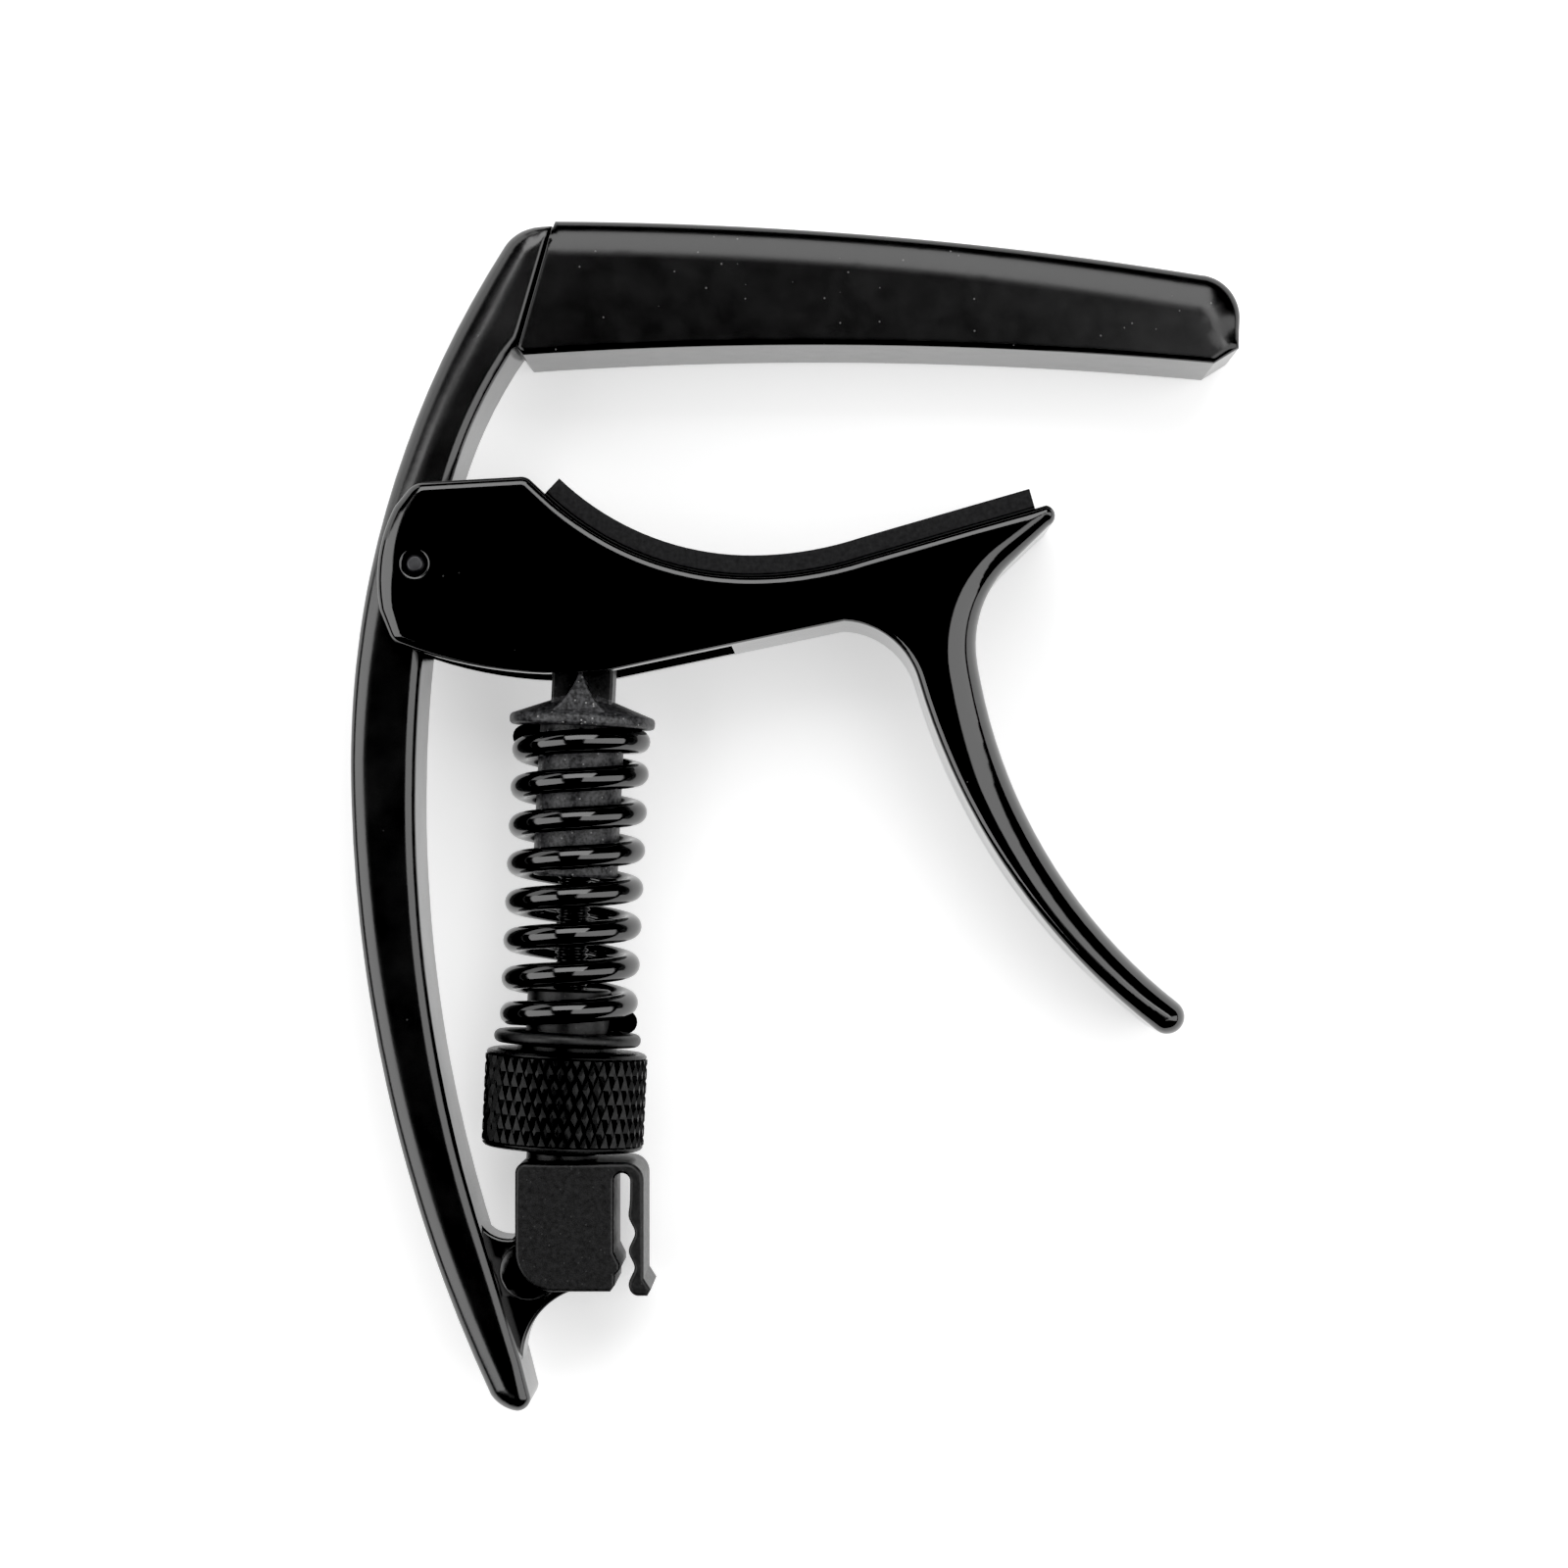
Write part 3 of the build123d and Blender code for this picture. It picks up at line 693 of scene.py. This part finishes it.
lug_outline = turn_left(np.array(
    arc((-27.1, -32.9), (-26.1, -35.1), (-24.0, -35.7))
    + line((-24.0, -35.7), (-20.85, -32.74))
    + arc((-20.85, -32.74), (-16.5, -36.2), (-19.0, -40.07))
    + arc((-19.0, -40.2), (-21.6, -42.0), (-23.1, -46.2))
    + line((-23.1, -46.2), (-25.5, -45.0)) + line((-25.5, -45.0), (-28.0, -33.0))
    + line((-28.0, -33.0), (-27.1, -32.9))
))
bar_outline = turn_left(np.array(
    arc((-23.0, 49.6), (12.5, 47.9), (35.6, 45.0)) + line((35.6, 45.0), (35.0, 40.6))
    + arc((35.0, 40.6), (7.5, 42.0), (-23.0, 41.4)) + line((-23.0, 41.4), (-23.0, 49.6))
))
combine(frame_piece, [
    slab(lug_outline, even_rim(lug_outline, 0.3), LUG_HALF),
    slab(bar_outline, even_rim(bar_outline, 0.4), BAR_HALF),
], "UNION")
RING_CENTRE = (-22.6, -38.5)
lug_ring = lathe([
    (2.36, 9.9), (2.54, 9.9), (2.54, 10.0), (2.50, 10.015), (2.45, 10.02), (2.40, 10.015), (2.36, 10.0),
], 64, Matrix.Translation((*RING_CENTRE, 0)))
combine(frame_piece, [lug_ring], "UNION")
combine(frame_piece, [
    prism(circle(MAIN_PIVOT, 1.02), 0, 15), prism(circle(LOWER_PIVOT, LOWER_PIN_BORE), 0, 15),
], "DIFFERENCE")
finish_piece(frame_piece, "frame", ARM_CASTING, ["frame"])

# -------------------------------------------------------------------- sleeve

sleeve = (
    arc((-20.2, 50.8), (12.65, 49.1), (38.1, 45.7)) + line((38.1, 45.7), (37.7, 39.9))
    + line((37.7, 39.9), (35.6, 38.6)) + arc((35.6, 38.6), (7.5, 40.1), (-22.8, 39.3))
    + line((-22.8, 39.3), (-23.3, 39.9)) + line((-23.3, 39.9), (-20.2, 50.8))
)
sleeve = turn_left(rounded(sleeve, (38.1, 45.7), 3.6))
sleeve_rim = rims(sleeve, (
    (-20.2, 50.8, 3.1, 1.5), (12.65, 49.1, 3.2, 1.5), (33.5, 46.5, 3.4, 1.7), (37.6, 44.0, 3.3, 1.7),
    (37.9, 41.5, 2.4, 1.3), (37.7, 39.9, 0.7, 0.6), (35.6, 38.6, 0.55, 0.45), (7.5, 40.1, 0.55, 0.45),
    (-22.8, 39.3, 0.5, 0.4), (-23.3, 39.9, 0.35, 0.3), (-20.6, 49.4, 0.35, 0.3),
))
sleeve_piece = to_object(slab(sleeve, sleeve_rim, SLEEVE_HALF), "string_sleeve_rubber")
cavity = turn_left(np.array(
    arc((-24.5, 49.65), (12.5, 47.95), (35.65, 45.05)) + line((35.65, 45.05), (35.05, 40.55))
    + arc((35.05, 40.55), (7.5, 41.95), (-24.5, 41.35)) + line((-24.5, 41.35), (-24.5, 49.65))
))
combine(sleeve_piece, [prism(cavity, *about_middle(4.05))], "DIFFERENCE")
finish_piece(sleeve_piece, "frame", RUBBER, ["string_sleeve"])

# --------------------------------------------------------------------- lever

KNUCKLE = along(KNUCKLE_AT)
lever = sections("lever", 14.2)[0]
in_notch = (np.abs(lever[:, 0] - KNUCKLE[0]) < 2.1) & (lever[:, 1] < KNUCKLE[1])
lever = resample(lever[~in_notch])
lever_rim = rims(lever, (
    (-35.0, 21.0, 2.0, 1.0), (-33.5, 26.4, 1.4, 0.9), (-31.0, 28.4, 0.8, 0.8), (-23.0, 28.9, 0.8, 0.8),
    (-12.0, 22.0, 0.8, 0.75), (-3.3, 20.53, 0.8, 0.75), (15.0, 24.7, 0.8, 0.8), (20.0, 26.1, 0.9, 0.9),
    (21.3, 26.47, 0.8, 0.8), (22.05, 25.75, 0.9, 0.9), (21.6, 24.8, 1.2, 1.4), (18.3, 21.6, 1.8, 2.1),
    (16.1, 18.25, 2.2, 2.6), (15.6, 13.5, 2.6, 3.0), (18.2, 4.0, 2.8, 3.2), (24.1, -6.5, 2.4, 2.9),
    (30.5, -13.5, 1.9, 2.6), (32.6, -15.5, 1.6, 2.4), (33.0, -16.8, 1.45, 2.2), (31.6, -18.05, 1.4, 2.0),
    (30.65, -17.75, 1.1, 1.4),
    (24.5, -11.5, 0.7, 0.8), (18.9, -5.5, 0.7, 0.7), (10.55, 11.8, 0.7, 0.6),
    (4.3, 16.7, 0.5, 0.5), (-10.0, 13.6, 0.45, 0.45), (-15.3, 12.7, 0.3, 0.3), (-20.5, 12.4, 0.3, 0.3),
    (-25.0, 12.8, 0.45, 0.45), (-33.7, 15.2, 1.1, 0.8),
))
lever_piece = to_object(slab(lever, lever_rim, LEVER_HALF), "lever_casting")
slot_outline = ((-28.3, 32.0), (-28.7, 26.4), (-21.8, 25.8), (-12.5, 19.3), (-5.2, 17.9), (-5.2, 8.0),
                (-40.0, 8.0), (-40.0, 32.0))
GROOVE_R = 1.55              # the knuckle pin's groove in each cheek, open downwards
GROOVE_HALF = 6.4
groove_left, groove_right = KNUCKLE[0] - GROOVE_R, KNUCKLE[0] + GROOVE_R
groove_foot = KNUCKLE[1] - 6.0
groove_drop = [(groove_left, KNUCKLE[1]), (groove_left, groove_foot),
               (groove_right, groove_foot), (groove_right, KNUCKLE[1])]
combine(lever_piece, [
    prism(slot_outline, *about_middle(SLOT_HALF)),
    prism(circle(KNUCKLE, GROOVE_R), *about_middle(GROOVE_HALF)),
    prism(groove_drop, *about_middle(GROOVE_HALF)),
    prism(circle(MAIN_PIVOT, 1.06), -1, 16),
    lathe([
        (0.9, 15.2), (1.28, 15.2), (1.28, 15.0), (1.18, 14.975),
        (1.11, 14.92), (1.07, 14.85), (1.06, 14.77), (0.9, 14.77),
    ], 48, ON_MAIN_PIVOT),
], "DIFFERENCE")
finish_piece(lever_piece, "lever", CASTING, ["lever"])

pivot_piece = to_object(lathe(profile([
    (0, 0.15, 0), (0.58, 0.15, 0.2), (1.0, 0.6, 0), (1.0, 14.4, 0), (0.58, 14.85, 0.2), (0, 14.85, 0),
]), 48, ON_MAIN_PIVOT), "main_pivot_pin_steel")
finish_piece(pivot_piece, "frame", PIN, ["main_pivot_pin"])

# ----------------------------------------------------------------------- pad

pad = resample(sections("neck_pad", MID_Z)[0])
pad_piece = to_object(slab(pad, even_rim(pad, 0.16), PAD_HALF, fill=1.2), "neck_pad_rubber")
finish_piece(pad_piece, "lever", PAD, ["neck_pad"])

# -------------------------------------------------------------------- holder

holder = resample(sections("pick_holder", 11.9)[0], step=0.25)
holder_rim = rims(holder, (
    (-20.0, -29.0, 0.45, 0.45), (-23.55, -33.0, 0.3, 0.3), (-20.3, -39.95, 0.3, 0.3),
    (-12.65, -33.0, 0.35, 0.3), (-14.0, -36.0, 0.25, 0.25),
))
holder_piece = to_object(slab(holder, holder_rim, HOLDER_HALF), "pick_holder_plastic")
neck = lathe(profile([(1.5, 5.5, 0), (3.05, 5.5, 0), (3.05, 8.1, 0.25), (1.5, 8.1, 0)]))
# the mark left where the moulding was fed
gate = lathe([(0, -0.5), (0.42, -0.5), (0.42, 0.2), (0.3, 0.3), (0, 0.3)], 16,
             Matrix.Translation((-23.6, -31.4, 7.9)) @ Matrix.Rotation(-pi / 2, 4, "Y"))
combine(holder_piece, [neck, gate], "UNION")
pocket = [(-26.2, -42.3), (-16.2, -42.3), (-16.2, -32.3), (-26.2, -32.3)]
combine(holder_piece, [
    prism(pocket, *about_middle(2.65)), prism(circle(LOWER_PIVOT, HOLDER_PIN_BORE), *about_middle(4.0)),
], "DIFFERENCE")
finish_piece(holder_piece, "link", PLASTIC, ["pick_holder"])

# --------------------------------------------------------------------- guide

guide_piece = to_object(lathe(profile([
    (1.7, 31.7, 0), (3.65, 31.7, 0.3), (3.65, 44.6, 0), (6.25, 44.6, 0.35), (6.25, 45.5, 0.4),
    (2.4, 46.95, 0), (0, 46.95, 0), (0, 44.0, 0), (1.7, 44.0, 0),
])), "spring_guide_plastic")
tongue = turn_left(np.array(
    line(along(45.0, -2.6), along(45.0, 2.6)) + line(along(45.0, 2.6), along(KNUCKLE_AT, 2.6))
    + arc(along(KNUCKLE_AT, 2.6), along(KNUCKLE_AT + 2.6), along(KNUCKLE_AT, -2.6))
    + line(along(KNUCKLE_AT, -2.6), along(45.0, -2.6))
))
gusset = turn_left(np.array(
    line(along(45.0, -2.3), along(45.0, 2.3)) + line(along(45.0, 2.3), along(45.9, 2.2))
    + arc(along(45.9, 2.2), along(47.3, 0.95), along(49.6, 0.05))
    + arc(along(49.6, -0.05), along(47.3, -0.95), along(45.9, -2.2))
    + line(along(45.9, -2.2), along(45.0, -2.3))
))
combine(guide_piece, [
    slab(tongue, even_rim(tongue, 0.25), 2.5), slab(gusset, even_rim(gusset, 0.2), 5.1, fill=0.6),
], "UNION")
combine(guide_piece, [prism(circle(KNUCKLE, KNUCKLE_BORE), 0, 15)], "DIFFERENCE")
finish_piece(guide_piece, "guide", GUIDE_PLASTIC, ["spring_guide"])
# the tongue's faces take the darker plastic: painted shade where the lever's cheeks shade the tongue
guide_piece.data.materials.append(PLASTIC)
TONGUE_FROM, TONGUE_TOP = 46.97, 11.0
for polygon in guide_piece.data.polygons:
    past_cone = (polygon.center - PIVOT * MM).dot(AXIS) > TONGUE_FROM * MM
    if past_cone and polygon.center.z < TONGUE_TOP * MM:
        polygon.material_index = 1

# ---------------------------------------------------------------------- seat

seat_piece = to_object(lathe(profile([
    (1.6, 17.3, 0.15), (6.3, 17.3, 0.5), (6.3, SEAT_AT, 0.5), (3.6, SEAT_AT, 0),
    (3.6, 22.1, 0.3), (1.6, 22.1, 0.15),
])), "spring_seat_plastic")
finish_piece(seat_piece, "seat", PLASTIC, ["spring_seat"])

# -------------------------------------------------------------------- spring

WIRE_R = 1.03
COIL_R = 4.9
PITCH = 3.29
TURNS = 8.5
CLOSING_FROM, CLOSING_TURNS = 7.65, 0.41


def ease(t):
    t = np.clip(t, 0, 1)
    return t * t * (3 - 2 * t)


def follow_body(obj, body, start, span):
    """A body takes the piece with it at start, and less and less along span, down to nothing at its end."""
    bpy.context.view_layer.update()
    held = bpy.data.objects["body:" + body]
    group = obj.vertex_groups.new(name=body)
    for v in obj.data.vertices:
        share = ((obj.matrix_world @ v.co) / MM - start).dot(span) / span.length_squared
        group.add([v.index], 1 - min(max(share, 0), 1), "REPLACE")
    hook = obj.modifiers.new("follow_" + body, "HOOK")
    hook.object = held
    hook.vertex_group = body
    hook.falloff_type = "NONE"
    hook.matrix_inverse = held.matrix_world.inverted() @ obj.matrix_world


def spring_mesh(around=20, per_turn=60):
    """Closed end coils below, a short closed end above, and plain cut ends."""
    turns = np.linspace(0, TURNS, int(TURNS * per_turn) + 1)
    slope = PITCH * ease(turns) * (1 - ease((turns - CLOSING_FROM) / CLOSING_TURNS))
    rise = np.concatenate([[0], np.cumsum((slope[1:] + slope[:-1]) / 2 * np.diff(turns))])
    rise *= (SPRING_LENGTH - 2 * WIRE_R) / rise[-1]
    bm = bmesh.new()
    rings = []
    for t, h, m in zip(turns, rise, slope):
        out = Vector((cos(tau * t), sin(tau * t), 0))
        ahead = Vector((-sin(tau * t) * tau * COIL_R, cos(tau * t) * tau * COIL_R, m)).normalized()
        up = out.cross(ahead)
        centre = out * COIL_R + Vector((0, 0, SEAT_AT + WIRE_R + h))
        rings.append([bm.verts.new(ON_SPRING @ (centre + (out * cos(a) + up * sin(a)) * WIRE_R))
                      for a in np.arange(around) * tau / around])
    for a, b in zip(rings, rings[1:]):
        for i in range(around):
            j = (i + 1) % around
            bm.faces.new((a[i], a[j], b[j], b[i]))
    bm.faces.new(rings[0])
    bm.faces.new(rings[-1])
    return bm


spring_piece = to_object(spring_mesh(), "compression_spring_wire")
finish_piece(spring_piece, "link", SPRING, ["compression_spring"], sharp=50)
follow_body(spring_piece, "seat", PIVOT + AXIS * SEAT_AT, AXIS * SPRING_LENGTH)
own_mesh(spring_piece)

# --------------------------------------------------------------------- wheel

KNURLS = 44
KNURL_ROWS = 6
KNURL_LOW, KNURL_HIGH = 8.95, 16.25
GROOVE_RADIUS, CREST_RADIUS = 6.66, 6.95


def wheel_mesh():
    """A diamond knurl between smooth shoulders, with a boss above and an M3 bore."""
    bm = bmesh.new()
    cols = 2 * KNURLS
    row_height = (KNURL_HIGH - KNURL_LOW) / KNURL_ROWS

    def vert(r, col, s):
        a = tau * col / cols
        return bm.verts.new(ON_SPRING @ Vector((r * cos(a), r * sin(a), s)))

    lattice = [[vert(GROOVE_RADIUS, c, KNURL_LOW + row_height * k) if (c + k) % 2 == 0 else None
                for c in range(cols)] for k in range(KNURL_ROWS + 1)]
    edge = {}
    for k in (0, KNURL_ROWS):
        for c in range(cols):
            if lattice[k][c] is None:
                lattice[k][c] = edge[(k, c)] = vert(GROOVE_RADIUS + 0.1, c, KNURL_LOW + row_height * k)
    for k in range(KNURL_ROWS + 1):
        for c in range(cols):
            if (c + k) % 2 == 0:
                continue
            s = KNURL_LOW + row_height * k
            left, right = lattice[k][c - 1], lattice[k][(c + 1) % cols]
            up = lattice[k + 1][c] if k < KNURL_ROWS else None
            down = lattice[k - 1][c] if k > 0 else None
            corners = [v for v in (right, up, left, down) if v is not None]
            crest = []
            for v, (dc, ds) in ((right, (0.3, 0)), (up, (0, 0.3)), (left, (-0.3, 0)), (down, (0, -0.3))):
                if v is not None:
                    crest.append(vert(CREST_RADIUS, c + dc, s + ds * row_height))
            if len(corners) == 4:
                for i in range(4):
                    j = (i + 1) % 4
                    bm.faces.new((corners[i], corners[j], crest[j], crest[i]))
                bm.faces.new(crest)
            else:
                if up is None:
                    crest, corners = [crest[1], crest[2], crest[0]], [left, down, right]
                else:
                    crest, corners = [crest[0], crest[1], crest[2]], [right, up, left]
                middle = edge[(k, c)]
                for i in (0, 1):
                    bm.faces.new((corners[i], corners[i + 1], crest[i + 1], crest[i]))
                bm.faces.new(crest)
                bm.faces.new((corners[2], middle, crest[2]))
                bm.faces.new((middle, corners[0], crest[0]))
                bm.faces.new((middle, crest[0], crest[2]))
    shoulder = [(6.86, 0.16), (6.88, 0.3), (6.72, 0.52), (6.42, 0.66), (6.05, 0.7)]
    below = [(r, KNURL_LOW - d * 0.85) for r, d in shoulder]
    above = [(r, KNURL_HIGH + d * 0.85) for r, d in shoulder]
    face_low, face_high = KNURL_LOW - 0.6, KNURL_HIGH + 0.6
    under = [(1.5, face_low + 0.25), (1.75, face_low), (5.6, face_low)] + below[::-1]
    over = above + [(5.6, face_high), (4.25, face_high), (4.25, 17.15), (4.15, 17.25),
                    (1.75, 17.25), (1.5, 17.0)]
    low_rings = [[vert(r, c, s) for c in range(cols)] for r, s in under]
    high_rings = [[vert(r, c, s) for c in range(cols)] for r, s in over]
    order = low_rings + [lattice[0]], [lattice[KNURL_ROWS]] + high_rings + [low_rings[0]]
    for run in order:
        for a, b in zip(run, run[1:]):
            for c in range(cols):
                d = (c + 1) % cols
                bm.faces.new((a[c], a[d], b[d], b[c]))
    return bm


wheel_piece = to_object(wheel_mesh(), "thumbwheel_knurled")
finish_piece(wheel_piece, "thumbwheel", WHEEL, ["thumbwheel"], sharp=24)

# --------------------------------------------------------------------- screw

def screw_mesh(around=24, per_pitch=6):
    """M3 thread of 0.5 mm pitch from the holder to the chamfered tip."""
    bm = bmesh.new()
    pitch, depth, low, high = 0.5, 0.24, 8.2, 37.6
    head_r, crest_r, tip_r = 2.4, 1.45, 1.05
    shank = ((head_r, 4.4), (head_r, 6.0), (crest_r, 6.0), (crest_r, low - 0.1))
    rings = [[point] * around for point in shank]
    count = int((high - low) / pitch * per_pitch)
    for k in range(count + 1):
        s = low + (high - low) * k / count
        ring = []
        for i in range(around):
            phase = ((s - low) / pitch - i / around) % 1
            ridge = np.clip(1.25 - 3.2 * abs(phase - 0.5), 0, 1)
            ring.append((crest_r - depth * (1 - ridge), s))
        rings.append(ring)
    rings.append([(tip_r, 38.0)] * around)
    made = [[bm.verts.new(ON_SPRING @ Vector((r * cos(tau * i / around), r * sin(tau * i / around), s)))
             for i, (r, s) in enumerate(ring)] for ring in rings]
    for a, b in zip(made, made[1:]):
        for i in range(around):
            j = (i + 1) % around
            bm.faces.new((a[i], a[j], b[j], b[i]))
    bm.faces.new(made[0])
    bm.faces.new(made[-1])
    return bm


screw_piece = to_object(screw_mesh(), "adjusting_screw_threaded")
finish_piece(screw_piece, "link", SCREW, ["adjusting_screw"])

# ----------------------------------------------- CAD nodes that stay in place

for node, material in (
    ("knuckle_pin", PIN), ("lower_pivot_pin", PIN),
    ("pivot_washer_front", NYLON), ("pivot_washer_back", NYLON), ("pad_adhesive", FILM),
):
    mesh = frame["nodes"][node].data
    mesh.materials.clear()
    mesh.materials.append(material)

# ------------------------------------------------------------ camera and light

VIEW_W = 134.9               # width of the picture at the middle plane
CAMERA_UP = 305.0            # above the middle plane
CAMERA_XY = (3.4, -3.6)
PICTURE_XY = (-0.84, 3.16)   # middle of the picture

camera_data = bpy.data.cameras.new("camera")
camera_data.sensor_width = 36.0
camera_data.angle = 2 * atan(VIEW_W / 2 / CAMERA_UP)
camera_data.shift_x = (PICTURE_XY[0] - CAMERA_XY[0]) / VIEW_W
camera_data.shift_y = (PICTURE_XY[1] - CAMERA_XY[1]) / VIEW_W
camera_data.clip_start = 0.01
camera_data.clip_end = 20.0
camera = bpy.data.objects.new("camera", camera_data)
camera.location = Vector((*CAMERA_XY, MID_Z + CAMERA_UP)) * MM
bpy.context.scene.collection.objects.link(camera)
bpy.context.scene.camera = camera


def softbox(name, toward, size, radiance, distance=1.5):
    """A rectangular light that faces the object, its width along X."""
    data = bpy.data.lights.new(name, "AREA")
    data.shape = "RECTANGLE"
    data.size, data.size_y = size
    data.energy = radiance * pi * size[0] * size[1]
    obj = bpy.data.objects.new(name, data)
    direction = Vector(toward).normalized()
    obj.location = direction * distance
    obj.rotation_euler = direction.to_track_quat("Z", "Y").to_euler()
    obj.visible_camera = False
    bpy.context.scene.collection.objects.link(obj)


softbox("softbox_back", (0.0, 0.78, 1.0), (1.3, 1.09), 2.7)
softbox("softbox_left", (-1.15, -0.15, 1.0), (1.3, 1.3), 2.1)
softbox("softbox_right", (1.0, -0.05, 1.0), (1.25, 2.2), 1.8)
softbox("low_panel", (-1.0, 0.85, 0.3), (1.3, 0.75), 1.2)

WORLD_GREY = 0.01
BLACK_LEVEL = 0.006          # the photo's blacks are crushed
FLOOR_GLOW = 0.5
FLOOR_HALF = 3.0             # metres
FLOOR_Z = -1e-5

world = bpy.data.worlds.new("studio")
world.use_nodes = True
world.node_tree.nodes["Background"].inputs["Color"].default_value = (WORLD_GREY, WORLD_GREY, WORLD_GREY, 1)
bpy.context.scene.world = world
view = bpy.context.scene.view_settings
view.view_transform = "Standard"
view.use_curve_mapping = True
view.curve_mapping.black_level = (BLACK_LEVEL, BLACK_LEVEL, BLACK_LEVEL)
view.curve_mapping.update()

floor_shader = Shader("studio_floor", roughness=0.6, specular_ior_level=0.2)
floor_tone = floor_shader.tint(floor_shader.noise(8, 2), (0.80, 0.80, 0.80), (0.81, 0.81, 0.81))
floor_shader.set("Base Color", floor_tone)
floor_shader.bsdf.inputs["Emission Color"].default_value = (1, 1, 1, 1)
floor_shader.bsdf.inputs["Emission Strength"].default_value = FLOOR_GLOW
floor_mesh = bpy.data.meshes.new("floor")
floor_corners = [(x * FLOOR_HALF, y * FLOOR_HALF, FLOOR_Z) for x, y in ((-1, -1), (1, -1), (1, 1), (-1, 1))]
floor_mesh.from_pydata(floor_corners, [], [(0, 1, 2, 3)])
floor_mesh.materials.append(floor_shader.material)
floor = bpy.data.objects.new("floor", floor_mesh)
bpy.context.scene.collection.objects.link(floor)
